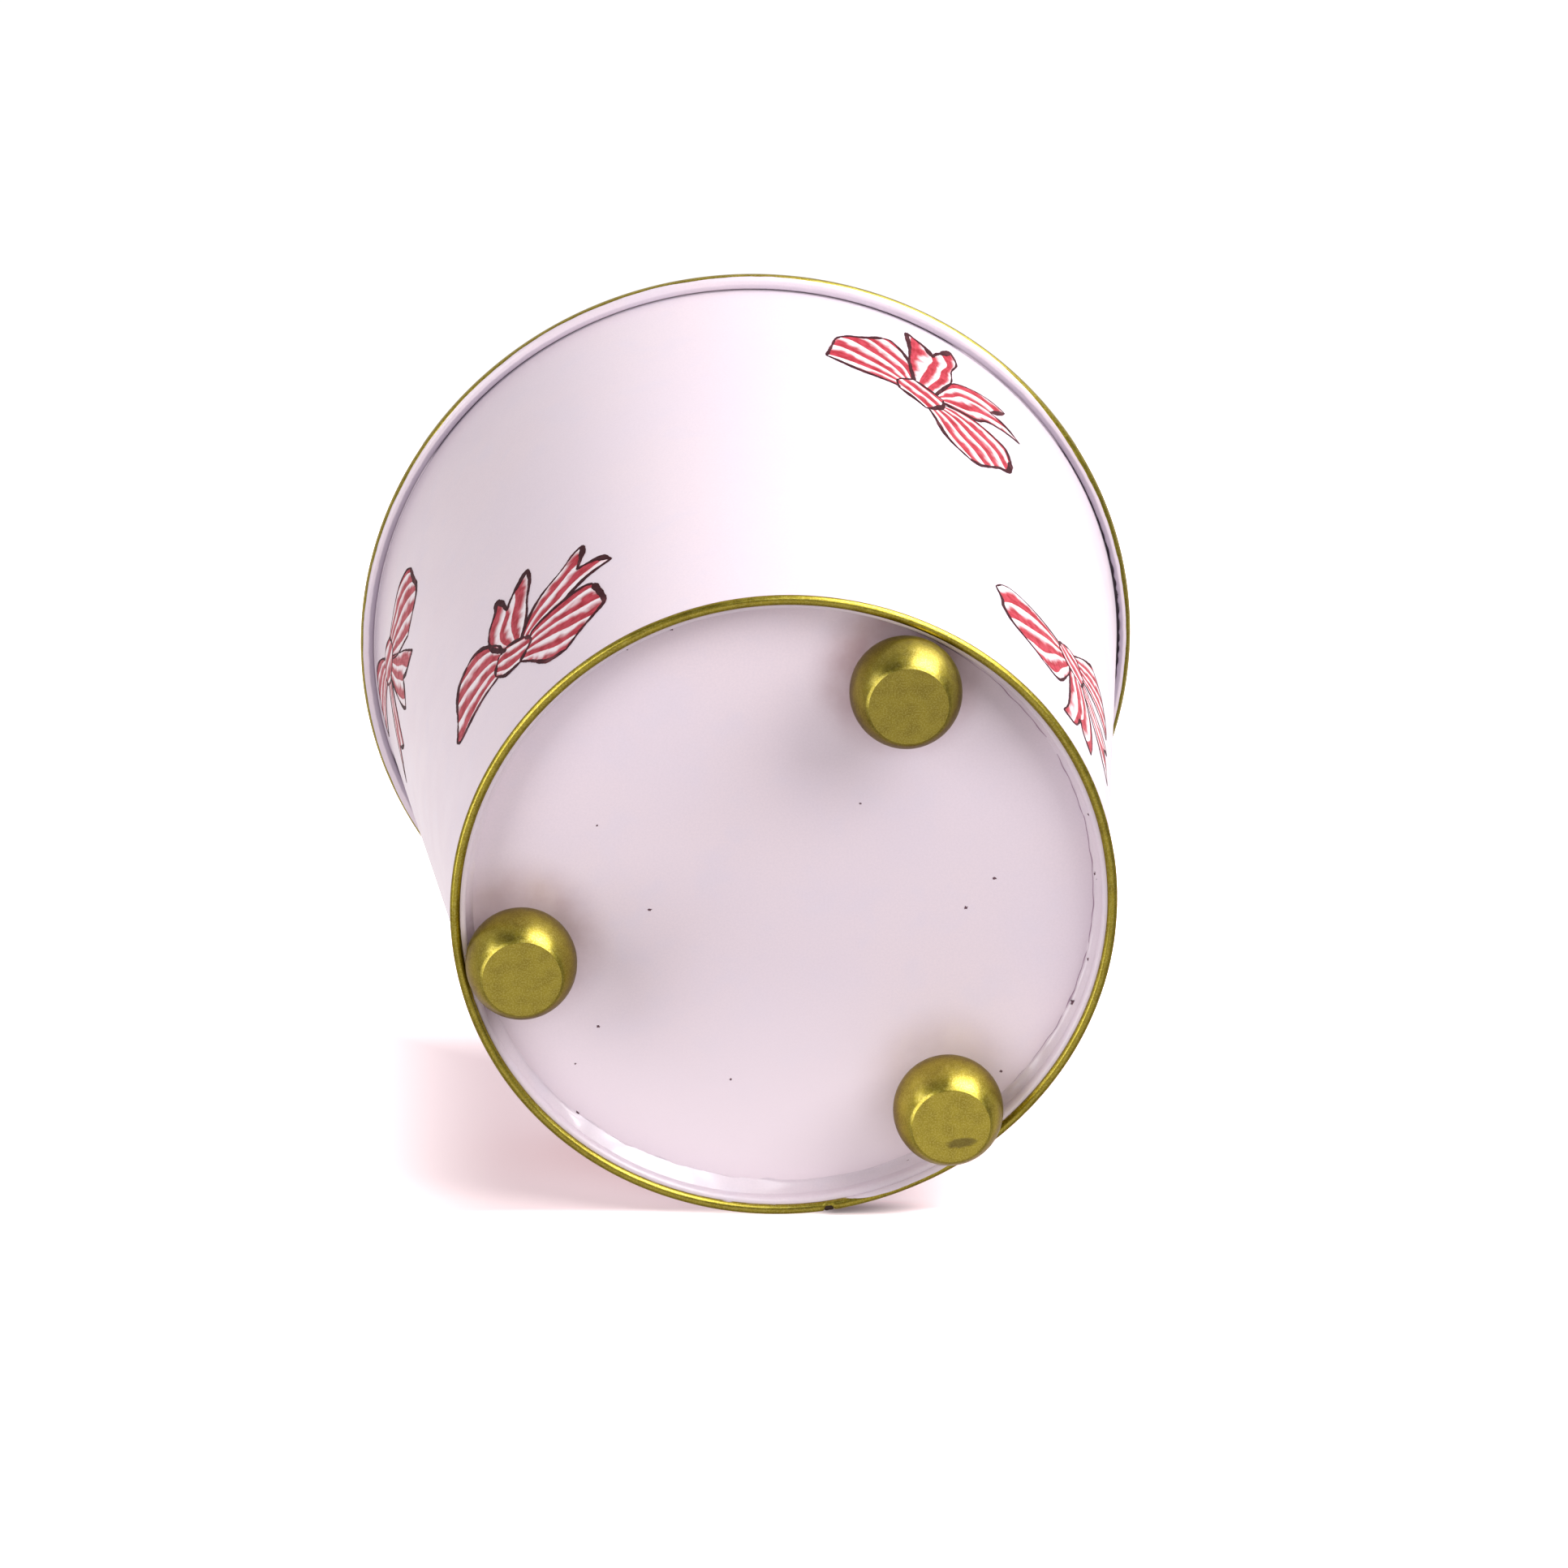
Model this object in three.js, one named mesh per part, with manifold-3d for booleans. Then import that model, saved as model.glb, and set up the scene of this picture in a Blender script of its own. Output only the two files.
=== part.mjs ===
// A round, tapered pot holder of painted sheet metal on three ball feet.
// The wall is one sheet, lapped into a cone and curled outward over a wire at the rim. A wire ring
// stiffens its base, a dished bottom plate is soldered in just above that ring, and each ball foot
// is held by a screw and washer from inside the pot.
// Millimetres, +Z up. The origin is on the pot's axis, on the surface that the feet stand on.
import * as THREE from "three";
import { mergeVertices } from "three/addons/utils/BufferGeometryUtils.js";
import Module from "manifold-3d";

const wasm = await Module();
wasm.setup();

// Sheet and fits
const SHEET = 0.6; // thickness of the wall and of the bottom plate
const GAP = 0.3; // left between pieces that touch
const ROUND = 96; // segments round the pot

// Feet
const FOOT_RADIUS = 10; // at the ball's widest circle
const FOOT_CENTRE_Z = 7.6; // height of that circle
const FOOT_LOWER_SEMI_AXIS = 11; // the lower half is slightly longer than half a sphere
const FOOT_EDGE_ROUND = 0.6; // rounding between the ground flat and the ball
const FOOT_CIRCLE_RADIUS = 48; // from the pot's axis to each ball's axis
const FOOT_AZIMUTHS = [-65, 51, 170]; // degrees from +X, set by hand and so uneven
const FOOT_ROUND = 24; // segments round a foot
const PILOT_RADIUS = 1.5; // blind screw hole in the top of a foot
const PILOT_DEPTH = 9;

// Base ring
const BASE_RING_OUTER_RADIUS = 60;
const BASE_RING_WIRE_RADIUS = 0.9;
const BASE_RING_Z = 12;
const BASE_RING_JOINT = 0.5; // width of the open butt joint
const BASE_RING_SIDES = 10;

// Wall
const WALL_BOTTOM_Z = 11.3;
const WALL_BASE_RADIUS = BASE_RING_OUTER_RADIUS - 2 * BASE_RING_WIRE_RADIUS - GAP; // outside, at the ring
const SEAM_AZIMUTH = 81; // degrees from +X
const SEAM_LAP = 6; // width of the lapped strip
const SEAM_CLEARANCE = 0.6; // from the strip's ends to the base ring and to the curl

// Rim
const RIM_OUTER_RADIUS = 76.7;
const RIM_BEAD_RADIUS = 1.65;
const RIM_BEAD_Z = 150.8;
const RIM_CURL_END = -122; // degrees; the curl stops here and leaves a narrow crevice at the wall
const RIM_WIRE_ROUND = 72;
const RIM_WIRE_SIDES = 8;

// Bottom plate
const PLATE_UNDERSIDE_Z = 17.3;
const PLATE_FLANGE_TOP_Z = 22;
const PLATE_BEND_RADIUS = 1.4;
const FILLET_LEG = 2; // mean leg of the solder fillet under the plate

// Foot fasteners
const SCREW_SHANK_RADIUS = 1.2;
const SCREW_HEAD_RADIUS = 3;
const SCREW_HEAD_HEIGHT = 1.9;
const SCREW_TIP_Z = 9.2;
const SCREW_SLOT = 0.8; // width and depth
const SCREW_ROUND = 16;
const WASHER_RADIUS = 4.5;
const WASHER_THICKNESS = 0.6;
const SCREW_HOLE_RADIUS = SCREW_SHANK_RADIUS + GAP;

// Worked out from the sizes above
const RIM_BEAD_CENTRE_RADIUS = RIM_OUTER_RADIUS - RIM_BEAD_RADIUS;
const RIM_WIRE_RADIUS = RIM_BEAD_RADIUS - SHEET - GAP;
const TAPER = wallTaper();
const PLATE_TOP_Z = PLATE_UNDERSIDE_Z + SHEET;
const WASHER_Z = PLATE_TOP_Z + GAP;
const HEAD_Z = WASHER_Z + WASHER_THICKNESS + GAP;

const LOOKS = {
  enamel: { color: 0xe8dde7, roughness: 0.38, metalness: 0 },
  gold: { color: 0x96882c, roughness: 0.36, metalness: 0.8 },
  steel: { color: 0x9a9da1, roughness: 0.4, metalness: 1 },
};

// Angle of the wall from the vertical, in radians: the wall's outer face leaves the base ring and
// meets the inside of the rim's curl at a tangent.
function wallTaper() {
  const across = RIM_BEAD_CENTRE_RADIUS - WALL_BASE_RADIUS;
  const up = RIM_BEAD_Z - BASE_RING_Z;
  return Math.atan2(across, up) - Math.asin((RIM_BEAD_RADIUS - SHEET) / Math.hypot(across, up));
}

function outerWallRadius(z) {
  return WALL_BASE_RADIUS + (z - BASE_RING_Z) * Math.tan(TAPER);
}

function innerWallRadius(z) {
  return outerWallRadius(z) - SHEET / Math.cos(TAPER);
}

// Points [radius, height] on an arc. Degrees run anticlockwise from straight out.
function arc(radius, height, size, from, to, steps) {
  return Array.from({ length: steps + 1 }, (_, i) => {
    const angle = THREE.MathUtils.degToRad(from + ((to - from) * i) / steps);
    return [radius + size * Math.cos(angle), height + size * Math.sin(angle)];
  });
}

// A profile of [radius, height] points turned about Z. It runs anticlockwise, so its faces point out.
function turned(profile, segments) {
  const points = profile.map(([radius, height]) => new THREE.Vector2(radius, height));
  return new THREE.LatheGeometry(points, segments).rotateX(Math.PI / 2);
}

// A turned profile that doesn't reach the axis, closed on itself.
function turnedRing(profile, segments) {
  return turned([...profile, profile[0]], segments);
}

function solidOf(geometry) {
  const bare = geometry.clone();
  bare.deleteAttribute("normal");
  bare.deleteAttribute("uv");
  const merged = mergeVertices(bare);
  return new wasm.Manifold(
    new wasm.Mesh({
      numProp: 3,
      vertProperties: new Float32Array(merged.attributes.position.array),
      triVerts: new Uint32Array(merged.index.array),
    }),
  );
}

function geometryOf(solid) {
  const mesh = solid.getMesh();
  const geometry = new THREE.BufferGeometry();
  geometry.setAttribute("position", new THREE.BufferAttribute(mesh.vertProperties, 3));
  geometry.setIndex(new THREE.BufferAttribute(mesh.triVerts, 1));
  const flat = geometry.toNonIndexed();
  flat.computeVertexNormals();
  return flat;
}

function bodyWall() {
  const bead = [RIM_BEAD_CENTRE_RADIUS, RIM_BEAD_Z];
  const curlStart = 180 - THREE.MathUtils.radToDeg(TAPER);
  const cone = solidOf(
    turnedRing(
      [
        [innerWallRadius(WALL_BOTTOM_Z), WALL_BOTTOM_Z],
        [outerWallRadius(WALL_BOTTOM_Z), WALL_BOTTOM_Z],
        ...arc(...bead, RIM_BEAD_RADIUS - SHEET, curlStart, RIM_CURL_END, 8),
        ...arc(...bead, RIM_BEAD_RADIUS, RIM_CURL_END, curlStart, 11),
      ],
      ROUND,
    ),
  );
  return geometryOf(cone.add(solidOf(seamStrip())));
}

// The lapped edge of the sheet, one thickness proud of the wall and sunk half a thickness into it.
function seamStrip() {
  const low = BASE_RING_Z + BASE_RING_WIRE_RADIUS + SEAM_CLEARANCE;
  const high = RIM_BEAD_Z - RIM_BEAD_RADIUS - SEAM_CLEARANCE;
  const azimuth = THREE.MathUtils.degToRad(SEAM_AZIMUTH);
  const out = new THREE.Vector3(Math.cos(azimuth), Math.sin(azimuth), 0);
  const up = new THREE.Vector3(0, 0, 1);
  const slope = out.clone().multiplyScalar(Math.sin(TAPER)).addScaledVector(up, Math.cos(TAPER));
  const across = new THREE.Vector3().crossVectors(up, out);
  const normal = new THREE.Vector3().crossVectors(across, slope);
  const middle = (low + high) / 2;
  const centre = out.clone().multiplyScalar(outerWallRadius(middle)).addScaledVector(up, middle);
  centre.addScaledVector(normal, SHEET / 4);
  const strip = new THREE.BoxGeometry(SEAM_LAP, (high - low) / Math.cos(TAPER), SHEET * 1.5);
  return strip.applyMatrix4(new THREE.Matrix4().makeBasis(across, slope, normal).setPosition(centre));
}

function rimWire() {
  const section = arc(RIM_BEAD_CENTRE_RADIUS, RIM_BEAD_Z, RIM_WIRE_RADIUS, 0, 360, RIM_WIRE_SIDES);
  return turnedRing(section.slice(0, -1), RIM_WIRE_ROUND);
}

function baseRing() {
  const centreRadius = BASE_RING_OUTER_RADIUS - BASE_RING_WIRE_RADIUS;
  const section = arc(centreRadius, BASE_RING_Z, BASE_RING_WIRE_RADIUS, 0, 360, BASE_RING_SIDES);
  const ring = solidOf(turnedRing(section.slice(0, -1), ROUND));
  const cutSize = 4 * BASE_RING_WIRE_RADIUS;
  const cut = new THREE.BoxGeometry(cutSize, BASE_RING_JOINT, cutSize);
  cut.translate(centreRadius, 0, BASE_RING_Z);
  cut.rotateZ(THREE.MathUtils.degToRad(SEAM_AZIMUTH));
  return geometryOf(ring.subtract(solidOf(cut)));
}

// A shallow dish: a flat disc whose edge bends up and follows the wall.
function bottomPlate() {
  const bendZ = PLATE_UNDERSIDE_Z + PLATE_BEND_RADIUS;
  const bendRadius = innerWallRadius(bendZ) - GAP - PLATE_BEND_RADIUS;
  const flangeTop = innerWallRadius(PLATE_FLANGE_TOP_Z) - GAP;
  const inside = PLATE_BEND_RADIUS - SHEET;
  let plate = solidOf(
    turned(
      [
        [0, PLATE_UNDERSIDE_Z],
        ...arc(bendRadius, bendZ, PLATE_BEND_RADIUS, -90, 0, 4),
        [flangeTop, PLATE_FLANGE_TOP_Z],
        [flangeTop - SHEET, PLATE_FLANGE_TOP_Z],
        ...arc(bendRadius, bendZ, inside, 0, -90, 3),
        [0, PLATE_TOP_Z],
      ],
      ROUND,
    ),
  );
  for (const foot of FOOT_AZIMUTHS) {
    const hole = new THREE.CylinderGeometry(SCREW_HOLE_RADIUS, SCREW_HOLE_RADIUS, 4 * SHEET, SCREW_ROUND);
    hole.rotateX(Math.PI / 2);
    hole.translate(...footPlace(foot), (PLATE_UNDERSIDE_Z + PLATE_TOP_Z) / 2);
    plate = plate.subtract(solidOf(hole));
  }
  return geometryOf(plate);
}

// The solder bead in the corner under the plate, swelling and thinning as it goes round.
function solderFillet() {
  const top = PLATE_UNDERSIDE_Z - GAP;
  const cornerRadius = innerWallRadius(top) - GAP;
  const foot = [innerWallRadius(top - FILLET_LEG) - GAP, top - FILLET_LEG];
  const hollow = [cornerRadius - FILLET_LEG * 0.4, top - FILLET_LEG * 0.4];
  const tip = [cornerRadius - FILLET_LEG, top];
  const ring = turnedRing([foot, [cornerRadius, top], tip, hollow], ROUND);
  const position = ring.attributes.position;
  for (let i = 0; i < position.count; i++) {
    const point = new THREE.Vector3().fromBufferAttribute(position, i);
    const azimuth = Math.atan2(point.y, point.x);
    const swell = 1 + 0.2 * Math.sin(2 * azimuth + 0.6) + 0.14 * Math.sin(7 * azimuth);
    const radius = Math.hypot(point.x, point.y);
    const drop = (top - point.z) * swell;
    const onWall = innerWallRadius(point.z) - GAP - radius;
    const newRadius = innerWallRadius(top - drop) - GAP - onWall * swell;
    position.setXYZ(i, Math.cos(azimuth) * newRadius, Math.sin(azimuth) * newRadius, top - drop);
  }
  return ring;
}

// A ball with a flat ground on its lowest side, a small seat at the top and a pilot hole for the screw.
function footBall() {
  const seatZ = PLATE_UNDERSIDE_Z - GAP;
  const seatAngle = THREE.MathUtils.radToDeg(Math.asin((seatZ - FOOT_CENTRE_Z) / FOOT_RADIUS));
  const flatAngle = THREE.MathUtils.radToDeg(Math.asin(FOOT_CENTRE_Z / FOOT_LOWER_SEMI_AXIS));
  const stretch = FOOT_LOWER_SEMI_AXIS / FOOT_RADIUS;
  const lower = arc(0, 0, FOOT_RADIUS, -flatAngle, 0, 8);
  const flatRadius = lower[0][0] - FOOT_EDGE_ROUND;
  return turned(
    [
      [0, 0],
      [flatRadius, 0],
      ...lower.slice(1).map(([radius, height]) => [radius, FOOT_CENTRE_Z + height * stretch]),
      ...arc(0, FOOT_CENTRE_Z, FOOT_RADIUS, 0, seatAngle, 8).slice(1),
      [PILOT_RADIUS, seatZ],
      [PILOT_RADIUS, seatZ - PILOT_DEPTH],
      [0, seatZ - PILOT_DEPTH],
    ],
    FOOT_ROUND,
  );
}

function footScrew() {
  const point = 2;
  const edge = SCREW_HEAD_HEIGHT / 2;
  const screw = solidOf(
    turned(
      [
        [0, SCREW_TIP_Z],
        [SCREW_SHANK_RADIUS, SCREW_TIP_Z + point],
        [SCREW_SHANK_RADIUS, HEAD_Z],
        [SCREW_HEAD_RADIUS, HEAD_Z],
        [SCREW_HEAD_RADIUS, HEAD_Z + edge],
        [SCREW_HEAD_RADIUS * 0.7, HEAD_Z + SCREW_HEAD_HEIGHT],
        [0, HEAD_Z + SCREW_HEAD_HEIGHT],
      ],
      SCREW_ROUND,
    ),
  );
  const slot = new THREE.BoxGeometry(3 * SCREW_HEAD_RADIUS, SCREW_SLOT, 2 * SCREW_SLOT);
  slot.translate(0, 0, HEAD_Z + SCREW_HEAD_HEIGHT);
  return geometryOf(screw.subtract(solidOf(slot)));
}

function footWasher() {
  const top = WASHER_Z + WASHER_THICKNESS;
  return turnedRing(
    [
      [SCREW_HOLE_RADIUS, WASHER_Z],
      [WASHER_RADIUS, WASHER_Z],
      [WASHER_RADIUS, top],
      [SCREW_HOLE_RADIUS, top],
    ],
    SCREW_ROUND,
  );
}

// [x, y] of the foot at an azimuth in degrees.
function footPlace(azimuth) {
  const angle = THREE.MathUtils.degToRad(azimuth);
  return [FOOT_CIRCLE_RADIUS * Math.cos(angle), FOOT_CIRCLE_RADIUS * Math.sin(angle)];
}

function piece(name, geometry, look) {
  const mesh = new THREE.Mesh(geometry, new THREE.MeshStandardMaterial(look));
  mesh.name = name;
  return mesh;
}

// A foot with its screw and washer, all on one axis.
function footGroup(azimuth, number) {
  const foot = new THREE.Group();
  foot.add(piece(`foot_${number}`, footBall(), LOOKS.gold));
  foot.add(piece(`foot_washer_${number}`, footWasher(), LOOKS.steel));
  foot.add(piece(`foot_screw_${number}`, footScrew(), LOOKS.steel));
  foot.position.set(...footPlace(azimuth), 0);
  return foot;
}

const pot = new THREE.Group();
pot.add(piece("body_wall", bodyWall(), LOOKS.enamel));
pot.add(piece("rim_wire", rimWire(), LOOKS.steel));
pot.add(piece("base_ring", baseRing(), LOOKS.gold));
pot.add(piece("bottom_plate", bottomPlate(), LOOKS.enamel));
pot.add(piece("solder_fillet", solderFillet(), LOOKS.enamel));
FOOT_AZIMUTHS.forEach((azimuth, i) => pot.add(footGroup(azimuth, i + 1)));

export default pot;
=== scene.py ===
"""A hand-painted sheet-metal pot on three gilded ball feet, lying on its side and seen from below."""

from math import asin, atan2, cos, hypot, pi, radians, sin, sqrt, tan

import bmesh
import bpy
import numpy as np
from mathutils import Euler, Matrix, Vector


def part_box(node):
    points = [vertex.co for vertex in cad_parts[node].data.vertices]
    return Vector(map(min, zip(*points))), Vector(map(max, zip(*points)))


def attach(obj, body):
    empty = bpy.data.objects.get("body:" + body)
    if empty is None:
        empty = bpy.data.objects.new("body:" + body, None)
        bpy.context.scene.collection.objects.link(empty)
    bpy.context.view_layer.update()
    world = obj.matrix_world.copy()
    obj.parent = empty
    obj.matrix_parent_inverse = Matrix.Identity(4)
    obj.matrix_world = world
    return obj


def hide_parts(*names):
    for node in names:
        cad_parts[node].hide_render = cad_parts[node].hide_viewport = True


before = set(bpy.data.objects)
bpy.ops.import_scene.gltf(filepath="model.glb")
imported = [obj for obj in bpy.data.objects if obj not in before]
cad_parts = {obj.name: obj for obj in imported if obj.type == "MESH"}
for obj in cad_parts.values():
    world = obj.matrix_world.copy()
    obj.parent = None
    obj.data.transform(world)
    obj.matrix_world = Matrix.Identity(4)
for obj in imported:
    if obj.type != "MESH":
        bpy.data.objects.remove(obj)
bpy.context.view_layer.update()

MM = 0.001
TURN = 2 * pi

# Sizes of the real pieces, as the CAD model has them.
SHEET = 0.6 * MM  # thickness of the wall and of the bottom plate
RIM_BEAD = 1.65 * MM  # radius of the rolled rim
RING_WIRE = 0.9 * MM  # radius of the base ring's wire
RING_CLEARANCE = 0.3 * MM  # from the wall to the base ring
FOOT_LOWER_SEMI_AXIS = 11 * MM
FOOT_FLAT_RADIUS = 7.2 * MM
SEAM_AZIMUTH = radians(81)
SEAM_LAP = 6 * MM
LAPPED_AZIMUTH = radians(66)  # where enamel laps on to the base ring

# Places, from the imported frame.
WALL_LOW, WALL_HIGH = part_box("body_wall")
RING_LOW, RING_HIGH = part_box("base_ring")
PLATE_LOW, PLATE_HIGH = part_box("bottom_plate")
BEAD_R = WALL_HIGH.x - RIM_BEAD
BEAD_Z = WALL_HIGH.z - RIM_BEAD
RING_R = RING_HIGH.x - RING_WIRE
RING_Z = (RING_LOW.z + RING_HIGH.z) / 2
WALL_R = RING_HIGH.x - 2 * RING_WIRE - RING_CLEARANCE  # the wall's outer face at the ring
SPAN = hypot(BEAD_R - WALL_R, BEAD_Z - RING_Z)
TAPER = atan2(BEAD_R - WALL_R, BEAD_Z - RING_Z) - asin((RIM_BEAD - SHEET) / SPAN)


def outer_radius(z):
    """The wall's outer face."""
    return WALL_R + (z - RING_Z) * tan(TAPER)


def inner_radius(z):
    return outer_radius(z) - SHEET / cos(TAPER)


def smooth(low, high, value):
    """0 below low, 1 above high, and smooth between them."""
    t = np.clip((value - low) / (high - low), 0, 1)
    return t * t * (3 - 2 * t)


def turn_from(middle, angle):
    """The angle from middle, at most half a turn either way."""
    return (angle - middle + pi) % TURN - pi


def hump(angle, middle, width):
    """A smooth bump of height 1 at one place round the pot."""
    return np.exp(-((turn_from(middle, angle) / width) ** 2))


def ripple(angle, seed, waves):
    """A smooth uneven line of about unit size that closes on itself round the pot."""
    rng = np.random.default_rng(seed)
    total = np.zeros_like(angle)
    for count in waves:
        total = total + rng.normal() * np.sin(count * angle + rng.uniform(0, TURN))
    return total / sqrt(len(waves))


# ---------------------------------------------------------------- meshes


def in_scene(name, data):
    """An object made from a mesh, a light or a camera, and put in the scene."""
    made = bpy.data.objects.new(name, data)
    bpy.context.scene.collection.objects.link(made)
    return made


def new_object(name, mesh, sharp=40):
    mesh.shade_smooth()
    mesh.set_sharp_from_angle(angle=radians(sharp))
    return in_scene(name, mesh)


def new_mesh(name, points, faces):
    mesh = bpy.data.meshes.new(name)
    mesh.from_pydata(points, [], faces)
    return mesh


def rework(mesh, *steps):
    """Runs steps on a mesh in turn, then turns every face outward."""
    work = bmesh.new()
    work.from_mesh(mesh)
    for step in steps:
        step(work)
    bmesh.ops.recalc_face_normals(work, faces=work.faces)
    work.to_mesh(mesh)
    work.free()


def join_points(work):
    """Joins points that coincide, such as those at a pole."""
    bmesh.ops.remove_doubles(work, verts=work.verts, dist=1e-7)
    bmesh.ops.dissolve_degenerate(work, edges=work.edges, dist=1e-8)


def fill_holes(work):
    bmesh.ops.holes_fill(work, edges=[e for e in work.edges if e.is_boundary])


def grid_faces(rows, columns, wrap_rows, wrap_columns):
    """Corner numbers of the quads of a grid of points, which may close on itself either way."""
    row = np.arange(rows if wrap_rows else rows - 1)[:, None]
    column = np.arange(columns if wrap_columns else columns - 1)[None, :]
    next_row = (row + 1) % rows
    next_column = (column + 1) % columns
    corners = (
        row * columns + column,
        next_row * columns + column,
        next_row * columns + next_column,
        row * columns + next_column,
    )
    return np.stack(corners, -1).reshape(-1, 4)


def grid_object(name, points, wrap_rows=True, wrap_columns=True, sharp=40):
    faces = grid_faces(*points.shape[:2], wrap_rows, wrap_columns)
    mesh = new_mesh(name, points.reshape(-1, 3).tolist(), faces.tolist())
    rework(mesh, join_points)
    return new_object(name, mesh, sharp)


def around_axis(angle, radius, height):
    """Points round Z from angles, radii and heights of matching shapes."""
    angle, radius, height = np.broadcast_arrays(angle, radius, height)
    return np.stack([radius * np.cos(angle), radius * np.sin(angle), height], -1)


def steps_round(count):
    return (np.arange(count) * TURN / count)[:, None]


def turned_object(name, angle, radius, height, **options):
    """A piece turned round the pot's axis, from the radii and heights of the runs of its profile."""
    runs = [np.broadcast_arrays(r + 0 * angle, h + 0 * angle) for r, h in zip(radius, height)]
    radius = np.concatenate([r for r, _ in runs], 1)
    height = np.concatenate([h for _, h in runs], 1)
    return grid_object(name, around_axis(angle, radius, height), **options)


def middle_of(low, high):
    """The middle of a box, at the height of the ground."""
    return np.array([(low.x + high.x) / 2, (low.y + high.y) / 2, 0])


def show(piece, slot, material, *nodes):
    """Finishes a piece: its material, its body and the CAD nodes that it stands for. slot is not used."""
    piece.data.materials.append(material)
    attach(piece, "root")
    if nodes:
        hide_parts(*nodes)


# ---------------------------------------------------------------- materials


class Nodes:
    """Short names for building a node tree."""

    def __init__(self, tree):
        self.tree = tree

    def new(self, kind):
        return self.tree.nodes.new("ShaderNode" + kind)

    def link(self, value, socket):
        if isinstance(value, bpy.types.NodeSocket):
            self.tree.links.new(value, socket)
        else:
            socket.default_value = value

    def math(self, operation, *values):
        node = self.new("Math")
        node.operation = operation
        for value, socket in zip(values, node.inputs):
            self.link(value, socket)
        return node.outputs[0]

    def chain(self, operation, first, *rest):
        for value in rest:
            first = self.math(operation, first, value)
        return first

    def add(self, *values):
        return self.chain("ADD", *values)

    def times(self, *values):
        return self.chain("MULTIPLY", *values)

    def minus(self, first, second):
        return self.math("SUBTRACT", first, second)

    def squares(self, first, second):
        """The sum of two squares."""
        return self.add(self.times(first, first), self.times(second, second))

    def ramp(self, value, low, high, at_low=0.0, at_high=1.0, kind="SMOOTHSTEP"):
        """at_low below low and at_high above high, smooth between."""
        node = self.new("MapRange")
        node.interpolation_type = kind
        limits = {"From Min": low, "From Max": high, "To Min": at_low, "To Max": at_high}
        for key, number in limits.items():
            node.inputs[key].default_value = number
        self.link(value, node.inputs["Value"])
        return node.outputs[0]

    def blend(self, share, first, second):
        """Colour first where share is 0, and second where it is 1."""
        node = self.new("Mix")
        node.data_type = "RGBA"
        self.link(share, node.inputs["Factor"])
        for colour, socket in ((first, node.inputs["A"]), (second, node.inputs["B"])):
            self.link((*colour, 1) if isinstance(colour, tuple) else colour, socket)
        return node.outputs["Result"]


class Paint(Nodes):
    """Short names for building one material."""

    def __init__(self, name):
        self.material = bpy.data.materials.new(name)
        self.material.use_nodes = True
        super().__init__(self.material.node_tree)
        self.shader = self.tree.nodes["Principled BSDF"]
        self.place = self.new("TexCoord").outputs["Object"]

    def noise(self, size, detail, stretch=(1, 1, 1), where=None):
        """Noise about 0.5, with features about size metres across."""
        mapping = self.new("Mapping")
        mapping.inputs["Scale"].default_value = [1 / s for s in stretch]
        self.link(where or self.place, mapping.inputs["Vector"])
        node = self.new("TexNoise")
        node.inputs["Scale"].default_value = 1 / size
        node.inputs["Detail"].default_value = detail
        self.link(mapping.outputs[0], node.inputs["Vector"])
        return node.outputs["Fac"]

    def stray(self, size, detail, reach):
        """Noise about 0, with features about size metres across, that strays by up to half of reach."""
        return self.times(self.minus(self.noise(size, detail), 0.5), reach)

    def bump(self, height, depth, after=None):
        """A bump of depth metres."""
        node = self.new("Bump")
        node.inputs["Strength"].default_value = 1.0
        node.inputs["Distance"].default_value = depth
        self.link(height, node.inputs["Height"])
        if after is not None:
            self.link(after, node.inputs["Normal"])
        return node.outputs[0]

    def xyz(self, vector=None):
        node = self.new("SeparateXYZ")
        self.link(vector or self.place, node.inputs[0])
        return node.outputs

    def set(self, **values):
        """Sets or links sockets of the shader, given by name."""
        for key, value in values.items():
            self.link(value, self.shader.inputs[key.replace("_", " ").title().replace("Ior", "IOR")])


LILAC = (0.745, 0.64, 0.70)
LILAC_COOL = (0.725, 0.63, 0.705)
LILAC_BLUE = (0.695, 0.62, 0.71)
# painted light: the bottom's enamel lighter towards +Y, for light thrown back by the table
LILAC_PAINTED_BOUNCE = (0.87, 0.755, 0.82)
GOLD = (0.32, 0.258, 0.022)
GOLD_DARK = (0.25, 0.195, 0.015)
GOLD_FLAKE = (0.5, 0.43, 0.1)
GOLD_EDGE = (0.27, 0.19, 0.075, 1)  # its dull look at a grazing angle
RUB_MARK = (0.075, 0.05, 0.016)
# painted shade on the underside of the rolled rim
GROOVE_PAINTED_SHADE = (0.36, 0.30, 0.38)
# painted shade deep in the crevice under the rolled rim
CREVICE_PAINTED_SHADE = (0.07, 0.045, 0.065)
# painted shadow round the feet on the enamel; FOOT_SHADE is painted shade close beside them
FOOT_PAINTED_SHADOW = (0.43, 0.29, 0.33)  # pinkish, on the enamel round the feet
FOOT_SHADE = (0.1, 0.06, 0.09)  # close beside the feet


def enamel_values(n):
    """Colour, roughness and bump of brushed-on lilac enamel."""
    tone = n.ramp(n.noise(26 * MM, 4), 0.35, 0.65)
    grain = n.ramp(n.noise(0.4 * MM, 2), 0.3, 0.7, 0.5, 1.0, "LINEAR")
    colour = n.blend(tone, LILAC, LILAC_COOL)
    colour = n.blend(n.ramp(n.noise(7 * MM, 3), 0.5, 0.72, 0.0, 0.5), colour, LILAC_BLUE)
    colour = n.blend(grain, tuple(0.93 * c for c in LILAC_COOL), colour)
    roughness = n.ramp(n.noise(9 * MM, 3), 0.3, 0.7, 0.29, 0.37)
    brushed = n.noise(1.1 * MM, 3, (1, 1, 9))
    return colour, roughness, n.bump(brushed, 0.008 * MM)


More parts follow.
